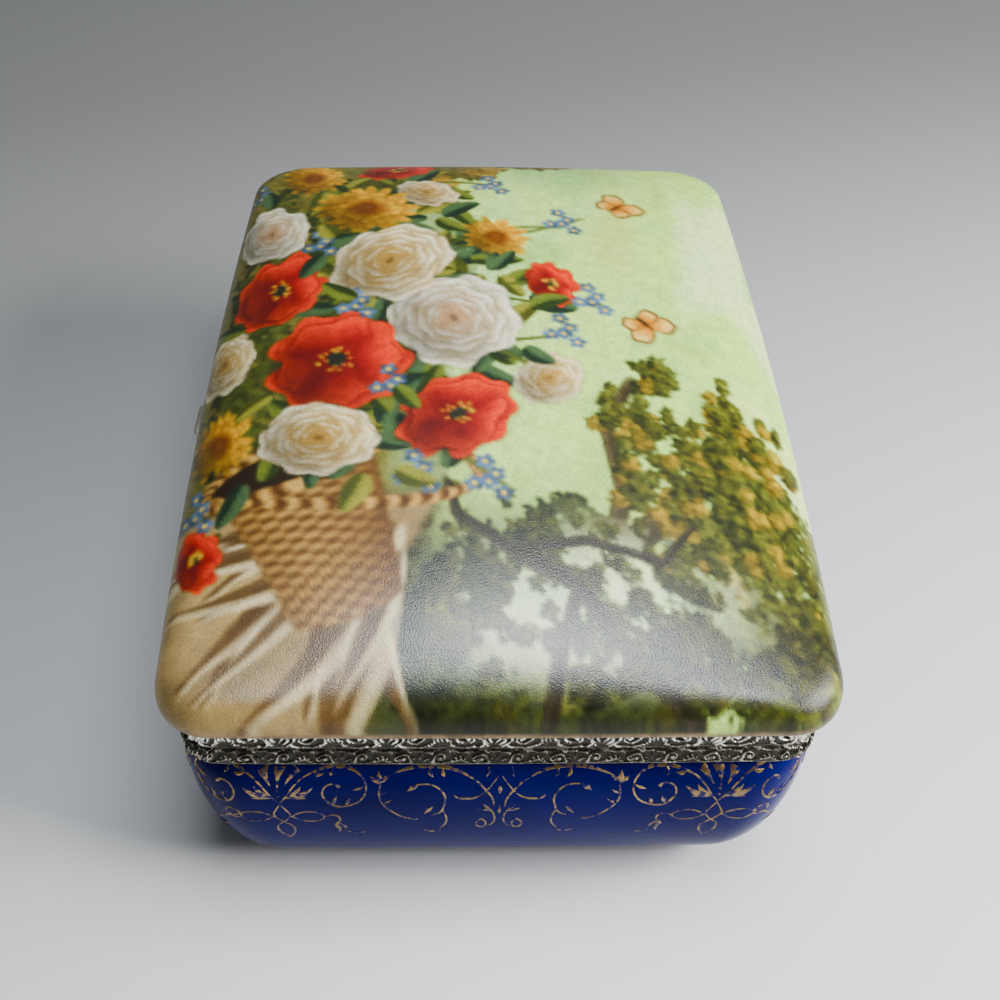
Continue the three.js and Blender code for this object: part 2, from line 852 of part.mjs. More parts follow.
function endBracket() {
  const outer = endPlate + bracketThickness;
  const foot = moved(
    endPlate - bracketFootReach, endPlate,
    -bracketFront, transferAcross - bracketFootBack,
    bracketBottom, bracketFootTop,
  );
  const plate = moved(
    endPlate, outer, -bracketFront, transferAcross + bracketBack, bracketBottom, armTop,
  );
  const rib = moved(
    endPlate, outer, transferAcross, wormAcross + armHalf, armHeight - ribDepth, armTop,
  );
  const arm = moved(
    governorAlong - armReach, outer, wormAcross - armHalf, wormAcross + armHalf, armHeight, armTop,
  );
  const guide = moved(
    governorAlong - armReach, governorAlong + guideHalf,
    wormAcross, stopAcross + guideHalf,
    armHeight, armTop,
  );
  let bracket = union([foot, plate, rib, arm, guide]);
  const high = [armHeight - past, armTop + past];
  const wide = [endPlate - past, outer + past];
  const worm = place(governorAlong, wormAcross);
  const cuts = [
    shaft(cylinderArborRadius + runningGap, ...wide, 0, cylinderHeight),
    shaft(transferArborRadius + runningGap, ...wide, transferAcross, cylinderHeight, smallSides),
    bar("z", governorShaftRadius + runningGap, ...high, worm, smallSides),
    bar("z", stopWireRadius + runningGap + pressGap, ...high, [stopX, stopY], smallSides),
  ];
  const footThrough = [bracketBottom - past, bracketFootTop + past];
  bracketScrewSpots.forEach((spot) => {
    const at = place(...spot);
    cuts.push(bar("z", smallScrewRadius + 2 * runningGap, ...footThrough, at, smallSides));
  });
  cuts.forEach((cut) => {
    bracket = bracket.subtract(solid(cut));
  });
  return bracket;
}
piece("end_bracket", endBracket(), "brass");

// Screws: the head's underside stands at the seat, and up says which way the shank points
function screw(spot, seat, radius, head, headHeight, length, up) {
  const turn = up ? 1 : -1;
  const profile = [
    [0, -headHeight],
    [head * screwHeadTaper, -headHeight],
    [head, -headHeight * screwHeadShoulder],
    [head, 0],
    [radius, 0],
    [radius, length],
    [0, length],
  ].map(([r, z]) => new THREE.Vector2(r, z));
  const body = new THREE.LatheGeometry(profile, smallSides).rotateX((turn * Math.PI) / 2);
  const [x, y] = place(...spot);
  const slot = block(
    -head, head, -screwSlotHalf, screwSlotHalf, -screwSlotDepth, screwSlotDepth,
  );
  slot.translate(x, y, seat - turn * headHeight);
  return solid(body.translate(x, y, seat)).subtract(solid(slot));
}

mountingSpots.forEach((spot, index) => {
  const seat = floorUnderside - runningGap;
  const length = bedTop - seat;
  const body = screw(
    spot, seat, mountingScrewRadius, mountingScrewHead, mountingScrewHeadHeight, length, true,
  );
  piece("mounting_screw_" + (index + 1), body, "steel");
});
bracketScrewSpots.forEach((spot, index) => {
  const seat = bracketFootTop + runningGap;
  const body = screw(
    spot, seat, smallScrewRadius, smallScrewHead, smallScrewHeadHeight, seat - bedBottom, false,
  );
  piece("bracket_screw_" + (index + 1), body, "steel");
});

// Comb: one steel plate with a tooth for each note
function comb() {
  const shape = new THREE.Shape();
  shape.moveTo(combStart, -combBack);
  shape.lineTo(combStart + combWidth, -combBack);
  shape.lineTo(combStart + combWidth, -combRoot);
  for (let i = notes - 1; i >= 0; i--) {
    const low = combStart + i * notePitch + combSlot / 2;
    const high = combStart + (i + 1) * notePitch - combSlot / 2;
    shape.lineTo(high, -combRoot);
    shape.lineTo(high, -combTip);
    shape.lineTo(low, -combTip);
    shape.lineTo(low, -combRoot);
  }
  shape.lineTo(combStart, -combRoot);
  shape.closePath();
  const plate = rounded(shape, combThickness).rotateY(Math.PI);
  plate.translate(barrelX, barrelY, combTop);
  let body = solid(plate);
  const through = [combBottom - past, combTop + past];
  combScrewAlong.forEach((along) => {
    const spot = place(along, combScrewAcross);
    body = body.subtract(solid(bar("z", smallScrewRadius + gap, ...through, spot, smallSides)));
  });
  return body;
}
piece("comb", comb(), "steel");
combScrewAlong.forEach((along, index) => {
  const body = screw(
    [along, combScrewAcross], combTop + runningGap,
    smallScrewRadius, smallScrewHead, smallScrewHeadHeight, smallScrewLength, false,
  );
  piece("comb_screw_" + (index + 1), body, "steel");
});

// Spring barrel: a cup with crown teeth, its cap, the mainspring and the arbor in it

function springBarrel() {
  const bore = arborRadius + runningGap;
  const profile = [
    [bore, barrelTop],
    [bore, barrelTop - barrelWall],
    [barrelRadius - barrelWall, barrelTop - barrelWall],
    [barrelRadius - barrelWall, barrelBottom],
    [barrelRadius, barrelBottom],
    [barrelRadius, barrelTop],
    [bore, barrelTop],
  ].map(([radius, height]) => new THREE.Vector2(radius, height));
  const cup = new THREE.LatheGeometry(profile, largeSides).rotateX(Math.PI / 2);
  const [x, y] = place(0, 0);
  let barrel = solid(cup.translate(x, y, 0));
  const pitch = (2 * Math.PI) / barrelTeeth;
  for (let i = 0; i < barrelTeeth; i++) {
    const inner = barrelToothRadius - toothFace / 2;
    const outer = barrelToothRadius + toothFace / 2;
    const half = crownToothWidth / 2;
    const tooth = block(inner, outer, -half, half, barrelTop - gap, barrelTop + crownToothHeight);
    tooth.rotateZ(Math.PI + (i + 0.5) * pitch).translate(x, y, 0);
    barrel = barrel.add(solid(tooth));
  }
  return barrel;
}
piece("spring_barrel", springBarrel(), "brass");

function washer(outer, inner, low, high, sides) {
  const profile = [[inner, low], [outer, low], [outer, high], [inner, high], [inner, low]]
    .map(([radius, height]) => new THREE.Vector2(radius, height));
  return new THREE.LatheGeometry(profile, sides).rotateX(Math.PI / 2);
}

function onBarrel(geometry) {
  return geometry.translate(barrelX, barrelY, 0);
}

const capRadius = barrelRadius - barrelWall - runningGap;
piece(
  "barrel_cap",
  solid(onBarrel(washer(
    capRadius, arborRadius + runningGap,
    barrelBottom, barrelBottom + barrelCapThickness, largeSides,
  ))),
  "brass",
);

const springLow = barrelBottom + barrelCapThickness + gap;
const springHigh = barrelTop - barrelWall - gap;

function mainspring() {
  const inside = [];
  const outside = [];
  for (let i = 0; i <= springSteps; i++) {
    const angle = (i / springSteps) * springTurns * 2 * Math.PI;
    const radius = springStart + (springEnd - springStart) * (i / springSteps);
    inside.push(new THREE.Vector2(radius * Math.cos(angle), radius * Math.sin(angle)));
    const far = radius + springStrip;
    outside.push(new THREE.Vector2(far * Math.cos(angle), far * Math.sin(angle)));
  }
  const shape = new THREE.Shape([...outside, ...inside.reverse()]);
  const strip = rounded(shape, springHigh - springLow).translate(0, 0, springLow);
  return solid(onBarrel(strip));
}
piece("mainspring", mainspring(), "steel");

function windingArbor() {
  const profile = [
    [0, arborBottom],
    [arborRadius, arborBottom],
    [arborRadius, springLow],
    [arborCoreRadius, springLow],
    [arborCoreRadius, springHigh],
    [arborRadius, springHigh],
    [arborRadius, barrelTop + arborProud],
    [0, barrelTop + arborProud],
  ].map(([radius, height]) => new THREE.Vector2(radius, height));
  const arbor = new THREE.LatheGeometry(profile, middleSides).rotateX(Math.PI / 2);
  return solid(onBarrel(arbor));
}
piece("winding_arbor", windingArbor(), "steel");

// Winding key: two wings on a hub that is pressed on the arbor
function windingKey() {
  const top = keyBottom + keyHeight;
  const hub = onBarrel(bar("z", keyHub, keyBottom, top, [0, 0], middleSides));
  const middle = keyBottom + keyHeight / 2;
  const wings = [0, Math.PI].map((turn) => {
    const wing = new THREE.Shape();
    const centre = keySpan / 2 - keyBow;
    wing.absellipse(centre, 0, keyBow, keyHeight / 2, 0, 2 * Math.PI);
    const eye = new THREE.Path();
    eye.absellipse(centre + keyEyeShift, 0, keyEye, keyEyeHeight, 0, 2 * Math.PI, true);
    wing.holes.push(eye);
    const plate = rounded(wing, keyThickness).translate(0, 0, -keyThickness / 2);
    return onBarrel(plate.rotateX(Math.PI / 2).rotateZ(turn).translate(0, 0, middle));
  });
  const socket = onBarrel(bar("z", arborRadius + runningGap, arborBottom - gap, top + past, [0, 0]));
  return union([hub, ...wings]).subtract(solid(socket));
}
piece("winding_key", windingKey(), "brass");

// Gears whose teeth are trapezoids about the pitch circle, with a tooth at the given angle

const toothRootShare = 0.3;
const toothTipShare = 0.1;

function gearShape(teeth, moduleSize, tip, root, bore, phase) {
  const pitchRadius = (teeth * moduleSize) / 2;
  const pitch = (2 * Math.PI) / teeth;
  const points = [];
  const add = (radius, angle) => {
    points.push(new THREE.Vector2(radius * Math.cos(angle), radius * Math.sin(angle)));
  };
  for (let i = 0; i < teeth; i++) {
    const centre = phase + i * pitch;
    add(pitchRadius - root, centre - toothRootShare * pitch);
    add(pitchRadius + tip, centre - toothTipShare * pitch);
    add(pitchRadius + tip, centre + toothTipShare * pitch);
    add(pitchRadius - root, centre + toothRootShare * pitch);
  }
  const shape = new THREE.Shape(points);
  const hole = new THREE.Path();
  hole.absarc(0, 0, bore, 0, 2 * Math.PI, true);
  shape.holes.push(hole);
  return shape;
}

// Stands a shape drawn in Y and Z along the movement, as a gear on a lying arbor
function gearAlong(shape, along, thickness, across) {
  const gear = rounded(shape, thickness).rotateZ(Math.PI / 2).rotateY(Math.PI / 2);
  const [x, y] = place(along + thickness, across);
  return solid(gear.translate(x, y, cylinderHeight));
}

const pinionModule = (2 * barrelToothRadius) / barrelTeeth;
const pinionStart = barrelToothRadius - toothFace / 2 - pinionOverhang;
const cylinderBore = cylinderArborRadius + pressGap;
const transferBore = transferArborRadius + pressGap;

piece(
  "cylinder_pinion",
  gearAlong(
    gearShape(
      pinionTeeth, pinionModule, crownPinionTip, crownPinionRoot, cylinderBore, Math.PI,
    ),
    pinionStart, toothFace + 2 * pinionOverhang, 0,
  ),
  "brass",
);
piece(
  "cylinder_gear",
  gearAlong(
    gearShape(
      cylinderGearTeeth, gearModule, toothTip, toothRoot, cylinderBore, Math.PI / 2,
    ),
    gearStart, gearThickness, 0,
  ),
  "brass",
);
piece(
  "transfer_pinion",
  gearAlong(
    gearShape(
      transferPinionTeeth, gearModule, toothTip, toothRoot, transferBore,
      Math.PI / 2 + Math.PI / transferPinionTeeth,
    ),
    gearStart, gearThickness, transferAcross,
  ),
  "steel",
);
piece(
  "transfer_wheel",
  gearAlong(
    gearShape(
      wormWheelTeeth, gearModule, toothTip, wormWheelRoot, transferBore, Math.PI / 2,
    ),
    wheelStart, wormWheelThickness, transferAcross,
  ),
  "brass",
);

// Arbors that the gears turn on
const arborEnd = endPlate + bracketThickness + arborOverhang;
const cylinderSpan = [pinionStart - arborOverhang, arborEnd];
const transferSpan = [transferPost - arborOverhang, arborEnd];
piece(
  "cylinder_arbor",
  solid(shaft(cylinderArborRadius, ...cylinderSpan, 0, cylinderHeight)),
  "steel",
);
piece(
  "transfer_arbor",
  solid(shaft(transferArborRadius, ...transferSpan, transferAcross, cylinderHeight, smallSides)),
  "steel",
);

// Pinned cylinder: its pins are spread round it by a golden angle, as irregular as a tune
function pinCylinder() {
  const [x, y] = place(cylinderStart + cylinderLength, 0);
  const tube = washer(cylinderRadius, cylinderBore, 0, cylinderLength, middleSides);
  tube.rotateY(Math.PI / 2).translate(x, y, cylinderHeight);
  let body = solid(tube);
  const goldenAngle = Math.PI * (3 - Math.sqrt(5));
  for (let i = 0; i < notes * pinsPerNote; i++) {
    const note = i % notes;
    const half = pinWidth / 2;
    const pin = block(
      -half, half, -half, half, cylinderRadius - pinRoot, cylinderRadius + pinHeight,
    );
    pin.rotateX(i * goldenAngle);
    const along = combStart + (note + 0.5) * notePitch;
    pin.translate(barrelX - along, y, cylinderHeight);
    body = body.add(solid(pin));
  }
  return body;
}
piece("pin_cylinder", pinCylinder(), "brass");

// Governor: a worm on a standing shaft, and a fan below it

function governorWorm() {
  const points = [];
  for (let i = 0; i < wormSides; i++) {
    const angle = (i / wormSides) * 2 * Math.PI;
    const lobe = (1 + Math.cos(wormStarts * angle)) / 2;
    const radius = wormRoot + (wormRadius - wormRoot) * lobe;
    points.push(new THREE.Vector2(radius * Math.cos(angle), radius * Math.sin(angle)));
  }
  const worm = rounded(new THREE.Shape(points), wormLength, { steps: wormSteps });
  const lead = Math.PI * gearModule * wormStarts;
  const position = worm.attributes.position;
  const turning = new THREE.Vector3();
  const up = new THREE.Vector3(0, 0, 1);
  for (let i = 0; i < position.count; i++) {
    turning.fromBufferAttribute(position, i);
    turning.applyAxisAngle(up, (2 * Math.PI * turning.z) / lead);
    position.setXYZ(i, turning.x, turning.y, turning.z);
  }
  const [x, y] = place(governorAlong, wormAcross);
  worm.translate(x, y, cylinderHeight - wormLength / 2);
  const rod = bar("z", governorShaftRadius, bedBottom + gap, armTop - gap, [x, y], smallSides);
  return union([worm, rod]);
}
piece("governor_worm", governorWorm(), "steel");

const fanBottom = bedTop + fanLift;
const fanTop = fanBottom + fanHeight;

function governorFan() {
  const [x, y] = place(governorAlong, wormAcross);
  const blades = block(-fanRadius, fanRadius, -fanBlade / 2, fanBlade / 2, fanBottom, fanTop);
  const hub = bar("z", fanHub, fanBottom, fanTop, [0, 0]);
  const through = [fanBottom - past, fanTop + past];
  const bore = bar("z", governorShaftRadius + pressGap, ...through, [0, 0], smallSides);
  const fan = union([blades, hub]).subtract(solid(bore));
  return fan.translate([x, y, 0]);
}
piece("governor_fan", governorFan(), "brass");

// Stop wire: the shut lid's lug stands on it, and its finger hangs over the fan's blades
function stopWire() {
  const fingerHeight = fanTop + gap + stopWireRadius;
  const top = lidRimBottom - gap;
  const foot = fingerHeight - stopWireRadius;
  const rod = bar("z", stopWireRadius, foot, top, [stopX, stopY], smallSides);
  const finger = bar(
    "y", stopWireRadius, stopY - stopFinger, stopY, [stopX, fingerHeight], smallSides,
  );
  return union([rod, finger]);
}
piece("stop_wire", stopWire(), "steel");

// The clasp reaches further out than the hinge, so the box is moved to stand over its middle
box.position.y = (claspReach - hingeReach) / 2;

export default box;
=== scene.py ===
import math
import random

import bmesh
import bpy
import numpy as np
from mathutils import Matrix, Vector


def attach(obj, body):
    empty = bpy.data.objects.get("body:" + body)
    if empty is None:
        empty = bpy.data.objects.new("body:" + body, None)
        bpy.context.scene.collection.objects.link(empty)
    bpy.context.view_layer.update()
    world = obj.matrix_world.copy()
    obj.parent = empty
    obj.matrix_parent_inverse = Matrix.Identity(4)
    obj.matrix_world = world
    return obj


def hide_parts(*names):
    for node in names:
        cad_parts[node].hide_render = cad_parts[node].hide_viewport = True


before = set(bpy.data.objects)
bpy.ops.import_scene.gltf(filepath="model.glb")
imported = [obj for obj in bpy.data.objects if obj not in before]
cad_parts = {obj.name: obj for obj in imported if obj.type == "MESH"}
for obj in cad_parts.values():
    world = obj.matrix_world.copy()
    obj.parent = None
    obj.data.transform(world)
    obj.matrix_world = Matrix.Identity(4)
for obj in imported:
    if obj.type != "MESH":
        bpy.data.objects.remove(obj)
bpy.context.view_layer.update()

# Base of the box: slip-cast porcelain with a bulging wall on a foot ring. It is dipped in
# cobalt glaze outside and left white within and underneath, with holes drilled for the
# winding arbor and the screws of the movement.

half_length = 0.0895
half_width = 0.064
side_bow = 0.0023
end_bow = 0.0004
middle_y = 0.0015
# Insets are measured inwards from the edge of the lid, which is the widest
wide_inset = 0.0012
wide_radius = 0.0145
foot_inset = 0.0125
neck_inset = 0.0051
wall = 0.0042
wide_height = 0.034
shoulder_height = 0.0443
neck_height = 0.04805
foot_height = 0.0024
foot_width = 0.0034
floor_under = 0.009
floor_top = 0.0126
straight_end = half_width - wide_inset - wide_radius
straight_side = half_length - wide_inset - wide_radius
corner_arc = wide_radius * math.pi / 2
radius_limit = 0.96
radius_loss = 0.4
quarter_round = straight_end + corner_arc + straight_side
round_the_box = 4 * quarter_round


def plan(distance, inset, radius):
    """Point of the outline that lies inset within the lid's edge, at a distance round the
    box that is measured on its widest outline from the middle of the near end."""
    quarter, along = divmod(distance % round_the_box, quarter_round)
    if quarter % 2:
        along = quarter_round - along
    half_x, half_y = half_length - inset, half_width - inset
    radius = min(radius, radius_limit * half_x, radius_limit * half_y)
    if along <= straight_end:
        x, y = half_x, (half_y - radius) * along / straight_end
    elif along <= straight_end + corner_arc:
        angle = (along - straight_end) / wide_radius
        x = half_x - radius + radius * math.cos(angle)
        y = half_y - radius + radius * math.sin(angle)
    else:
        x = (half_x - radius) * (quarter_round - along) / straight_side
        y = half_y
    x = -x if quarter in (1, 2) else x
    y = -y if quarter in (2, 3) else y
    bow = side_bow * half_y / half_width
    return (
        x * (1 - end_bow / half_x * (y / half_y) ** 2),
        y * (1 - bow / half_y * (x / half_x) ** 2) + middle_y,
    )


def bulge(height):
    """Inset of the base's wall at a height."""
    if height > wide_height:
        share = min(1, (height - wide_height) / (shoulder_height - wide_height))
        return neck_inset - (neck_inset - wide_inset) * (1 - share**3) ** (1 / 3)
    share = min(1, (wide_height - height) / (wide_height - foot_height))
    return foot_inset - (foot_inset - wide_inset) * math.sqrt(1 - share**2)


def base_radius(inset):
    """Radius of the base's corners, which get tighter where the wall draws in."""
    return wide_radius - radius_loss * (inset - wide_inset)


def stations(end_steps, corner_steps, side_steps):
    """Distances round the box, with their own spacing on ends, corners and sides."""
    marks = [straight_end * i / end_steps for i in range(end_steps)]
    marks += [straight_end + corner_arc * i / corner_steps for i in range(corner_steps)]
    side_start = straight_end + corner_arc
    marks += [side_start + straight_side * i / side_steps for i in range(side_steps)]
    half = marks + [2 * quarter_round - mark for mark in [quarter_round, *marks[:0:-1]]]
    return half + [2 * quarter_round + mark for mark in half]


def lay(loop, marks, ring):
    """Moves a loop of vertices to a ring of (inset, radius, height)."""
    inset, radius, height = ring
    for vert, mark in zip(loop, marks):
        vert.co = (*plan(mark, inset, radius), height)
    return loop


def first_ring(shape, marks, ring):
    circle = bmesh.ops.create_circle(shape, segments=len(marks), radius=1)["verts"]
    return lay(circle, marks, ring)


def edges_of(shape, loop):
    return [shape.edges.get((loop[i - 1], loop[i])) for i in range(len(loop))]


def next_ring(shape, loop, marks, ring):
    """Pulls a new loop of vertices out of the last one."""
    made = bmesh.ops.extrude_edge_only(shape, edges=edges_of(shape, loop))["geom"]
    fresh = {v for v in made if isinstance(v, bmesh.types.BMVert)}
    pulled = [next(e.other_vert(v) for e in v.link_edges if e.other_vert(v) in fresh) for v in loop]
    return lay(pulled, marks, ring)


def make(name, shape, *finishes):
    """Turns a finished bmesh into an object."""
    mesh = bpy.data.meshes.new(name)
    shape.to_mesh(mesh)
    shape.free()
    for finish in finishes:
        mesh.materials.append(finish)
    made = bpy.data.objects.new(name, mesh)
    bpy.context.scene.collection.objects.link(made)
    return made


def put(name, shape, finish, body, slot, *replaced, sharp=40):
    """Turns a finished bmesh into a piece that rides on its body."""
    piece = make(name, shape, finish)
    piece.data.shade_smooth()
    piece.data.set_sharp_from_angle(angle=math.radians(sharp))
    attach(piece, body)
    if replaced:
        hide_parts(*replaced)
    return piece


def new_finish(name, **sockets):
    """A material whose shader has the given constant values."""
    finish = bpy.data.materials.new(name)
    finish.use_nodes = True
    shader = finish.node_tree.nodes["Principled BSDF"]
    for socket, value in sockets.items():
        shader.inputs[socket.replace("_", " ")].default_value = value
    return finish


def step(finish, kind, sockets, **settings):
    """Adds a node to a material. A socket takes a number, a colour or another's output."""
    made = finish.node_tree.nodes.new("ShaderNode" + kind)
    for name, value in settings.items():
        setattr(made, name, value)
    for socket, value in sockets.items():
        if isinstance(value, bpy.types.NodeSocket):
            finish.node_tree.links.new(value, made.inputs[socket])
        else:
            made.inputs[socket].default_value = value
    return made.outputs


def feed(finish, **sources):
    """Links outputs to the material's shader."""
    shader = finish.node_tree.nodes["Principled BSDF"]
    for socket, source in sources.items():
        finish.node_tree.links.new(source, shader.inputs[socket.replace("_", " ")])


def clouds(finish, scale, detail, distortion=0.0):
    """Noise that stays with the piece. Scale is in patches to the metre."""
    spot = step(finish, "TexCoord", {})["Object"]
    sockets = {"Vector": spot, "Scale": scale, "Detail": detail, "Distortion": distortion}
    return step(finish, "TexNoise", sockets)["Fac"]


def dents(finish, height, strength, depth):
    """Relief of a surface, as deep as depth in metres."""
    sockets = {"Height": height, "Strength": strength, "Distance": depth}
    return step(finish, "Bump", sockets)["Normal"]


def blend(finish, share, one, other, kind="MIX"):
    """Mix of two colours."""
    sockets = {"Factor": share, "A": one, "B": other}
    return step(finish, "Mix", sockets, data_type="RGBA", blend_type=kind)["Result"]


def read(finish, name, output="Fac"):
    """What a vertex attribute of the piece holds."""
    return step(finish, "Attribute", {}, attribute_name=name)[output]


def ramp(finish, source, *stops):
    """Colour ramp over (place, colour) stops."""
    made = finish.node_tree.nodes.new("ShaderNodeValToRGB")
    finish.node_tree.links.new(source, made.inputs["Fac"])
    while len(made.color_ramp.elements) < len(stops):
        made.color_ramp.elements.new(1)
    for element, (place, colour) in zip(made.color_ramp.elements, stops):
        element.position = place
        element.color = (*colour, 1)
    return made.outputs["Color"]


cobalt = new_finish(
    "cobalt_glaze", Roughness=0.06, Specular_IOR_Level=0.02, Specular_Tint=(0.35, 0.42, 1, 1)
)
pooled = clouds(cobalt, 38.0, 3.0)
blue = ramp(cobalt, pooled, (0.3, (0.0007, 0.0006, 0.066)), (0.7, (0.001, 0.0012, 0.1)))
blue_outside = blend(cobalt, read(cobalt, "cobalt"), (0.8, 0.79, 0.75, 1), blue)
ripple = dents(cobalt, clouds(cobalt, 90.0, 2.0), 0.06, 0.0004)
feed(cobalt, Base_Color=blue_outside, Normal=ripple)


def base_ring(height, thickness=0.0):
    """Ring of the base's wall, or of its inside at a wall's thickness."""
    inset = bulge(height) + thickness
    return inset, base_radius(inset), height


def pull(shape, loop, marks, rings, layer=None, value=0.0):
    """Pulls rings out of a loop one after another, and writes a value on each."""
    for ring in rings:
        loop = next_ring(shape, loop, marks, ring)
        if layer:
            for vert in loop:
                vert[layer] = value
    return loop


foot_radius = base_radius(foot_inset)
neck_radius = 0.007
top_ring = (neck_inset, neck_radius, neck_height)
shoulder_steps, belly_steps, inner_steps = 12, 24, 8
glazed_rings = []
for i in range(shoulder_steps + 1):
    rise = math.sqrt(1 - (i / shoulder_steps) ** 2)
    glazed_rings.append(base_ring(wide_height + (shoulder_height - wide_height) * rise))
for i in range(1, belly_steps + 1):
    drop = math.sin(i / belly_steps * math.pi / 2)
    glazed_rings.append(base_ring(wide_height - (wide_height - foot_height) * drop))
foot_back = foot_inset + foot_width
under_rings = [
    (foot_inset + 0.0001, foot_radius, 0.0006),
    (foot_inset + 0.0006, foot_radius, 0),
    (foot_back - 0.0002, foot_radius, 0),
    (foot_back + 0.0003, foot_radius, 0.0006),
    (foot_back + 0.0009, foot_radius, floor_under - 0.0012),
    (foot_back + 0.0024, foot_radius, floor_under),
]
inner_rings = [(neck_inset + wall, neck_radius, neck_height)]
for rise in (1, 0.95, 0.8, 0.5, 0):
    inner_rings.append(base_ring(wide_height + (shoulder_height - wide_height) * rise, wall))
for i in range(1, inner_steps + 1):
    height = wide_height + (floor_top - wide_height) * i / inner_steps
    inner_rings.append(base_ring(height, wall))

base_marks = stations(end_steps=16, corner_steps=18, side_steps=24)
shell = bmesh.new()
glaze = shell.verts.layers.float.new("cobalt")
top = first_ring(shell, base_marks, top_ring)
for vert in top:
    vert[glaze] = 1
foot = pull(shell, top, base_marks, glazed_rings, glaze, 1)
shell.faces.new(pull(shell, foot, base_marks, under_rings, glaze))
shell.faces.new(pull(shell, top, base_marks, inner_rings, glaze))
bmesh.ops.recalc_face_normals(shell, faces=shell.faces)
base = put("base_porcelain", shell, cobalt, "base", "body_porcelain", "body_shell")

# Holes for the arbor and the three screws that hold the movement
arbor_hole, screw_hole, drill_length = 0.004, 0.0018, 0.02
holes = [(-0.0355, 0.027, arbor_hole), (-0.027, 0.009, screw_hole)]
holes += [(-0.0675, 0.009, screw_hole), (-0.0555, 0.0415, screw_hole)]
drills = bmesh.new()
for x, y, radius in holes:
    bmesh.ops.create_cone(
        drills, segments=32, radius1=radius, radius2=radius, depth=drill_length, cap_ends=True,
        matrix=Matrix.Translation((x, y, (floor_under + floor_top) / 2)),
    )
drill = make("drills", drills)
cut = base.modifiers.new("holes", "BOOLEAN")
cut.object = drill
cut.solver = "EXACT"
bpy.context.view_layer.update()
drilled = bpy.data.meshes.new_from_object(
    base.evaluated_get(bpy.context.evaluated_depsgraph_get())
)
base.modifiers.clear()
base.data = drilled
bpy.data.objects.remove(drill)

# Gilding of the base: scrollwork brushed on by hand over the glaze and fired, so it stands a
# hair proud of it and is rubbed thin in places. A palmette stands near each end's corners
# and in the middle of each side, and the scrolls of two palmettes meet between them.


def between(finish, value, low, high, start=0.0, end=1.0, **settings):
    """Value that runs from low to high while another runs from start to end."""
    sockets = {"Value": value, "From Min": start, "From Max": end, "To Min": low, "To Max": high}
    return step(finish, "MapRange", sockets, **settings)["Result"]


gilding = new_finish("worn_gilding", Specular_IOR_Level=0.1)
rubbed = clouds(gilding, 800.0, 5.0)
streak = clouds(gilding, 95.0, 3.0)
gold = ramp(gilding, streak, (0.3, (0.14, 0.085, 0.03)), (0.7, (0.42, 0.28, 0.11)))
left_on = between(gilding, rubbed, 0.0, 1.0, 0.42, 0.54)
worn_gold = blend(gilding, left_on, (0.001, 0.0012, 0.09, 1), gold)
matt = between(gilding, rubbed, 0.55, 0.28)
feed(gilding, Base_Color=worn_gold, Metallic=left_on, Roughness=matt)

# Strokes are lists of (across, up, half width) in millimetres. Across runs from the
# palmette's middle to the middle of the face, and up from the ground.
palmette_strokes = [
    [(0, 40.6, 0.12), (0, 42.2, 0.5), (0, 43.3, 0.95), (0, 43.9, 1.15)],
    [(0, 39.4, 0.2), (0, 40.2, 0.26)],
    [(0, 38.2, 0.2), (0, 38.5, 0.36), (0, 38.8, 0.2)],
    [(0, 36.3, 0.2), (0, 36.6, 0.36), (0, 36.9, 0.2)],
]
scroll_strokes = [
    [(0, 34, 0.12), (0.5, 34.9, 0.2), (1.5, 36.6, 0.22), (3.6, 40.6, 0.26), (5, 42.2, 0.27),
     (6.8, 43.2, 0.28), (9, 43.8, 0.28), (11, 43.9, 0.27), (14, 43.6, 0.26), (16, 42.5, 0.25),
     (17, 40.6, 0.24), (17.1, 38.5, 0.23), (16.4, 36.1, 0.24), (15.2, 34.4, 0.28),
     (13.5, 33.4, 0.33), (11.5, 33.1, 0.36), (10, 34, 0.34), (9, 35.6, 0.28), (8.6, 37.5, 0.24),
     (9, 39.3, 0.22), (10, 40.3, 0.25), (11.3, 40.3, 0.32), (12, 39.4, 0.42)],
    [(10.5, 33.2, 0.15), (10.8, 34.9, 0.5), (11.3, 36.5, 0.08)],
    [(13.1, 33.4, 0.15), (13.3, 34.6, 0.42), (13.9, 35.8, 0.08)],
    [(6.6, 43.1, 0.12), (7.6, 42.6, 0.5), (8.8, 42.8, 0.08)],
    [(10.3, 43.8, 0.15), (10.2, 43, 0.45), (10.6, 42.2, 0.08)],
    [(16.8, 39.9, 0.12), (15.7, 39.1, 0.45), (14.6, 38.7, 0.08)],
    [(1.4, 39.9, 0.12), (2.1, 41.6, 0.35), (2.8, 42.9, 0.75), (3.3, 43.8, 1)],
    [(1.2, 35.9, 0.15), (2.6, 36.7, 0.75), (3.8, 38.3, 0.5), (4.5, 39.7, 0.08)],
    [(2.4, 36, 0.2), (4.4, 36.9, 0.8), (5.8, 38.2, 0.45), (6.8, 39.3, 0.08)],
    [(2, 35.9, 0.2), (3.7, 36, 0.45), (5.3, 35.9, 0.12)],
    [(0, 33.7, 0.15), (1, 31.6, 0.22), (1.6, 29.8, 0.24), (0.9, 28, 0.22), (0, 26.8, 0.22),
     (-1.4, 25.2, 0.24), (-1.7, 23.8, 0.25), (-1.3, 21.6, 0.24), (0, 19.3, 0.15)],
    [(1.5, 28.9, 0.3), (3.6, 30.5, 0.26), (5.6, 31, 0.24), (7.6, 30.3, 0.24), (8.3, 29, 0.24),
     (7.6, 27.8, 0.24), (5.6, 27.1, 0.24), (3.6, 27.6, 0.26), (1.7, 29.3, 0.3)],
    [(12.2, 22.4, 0.1), (14, 21.6, 0.3), (16, 22, 0.1)],
]
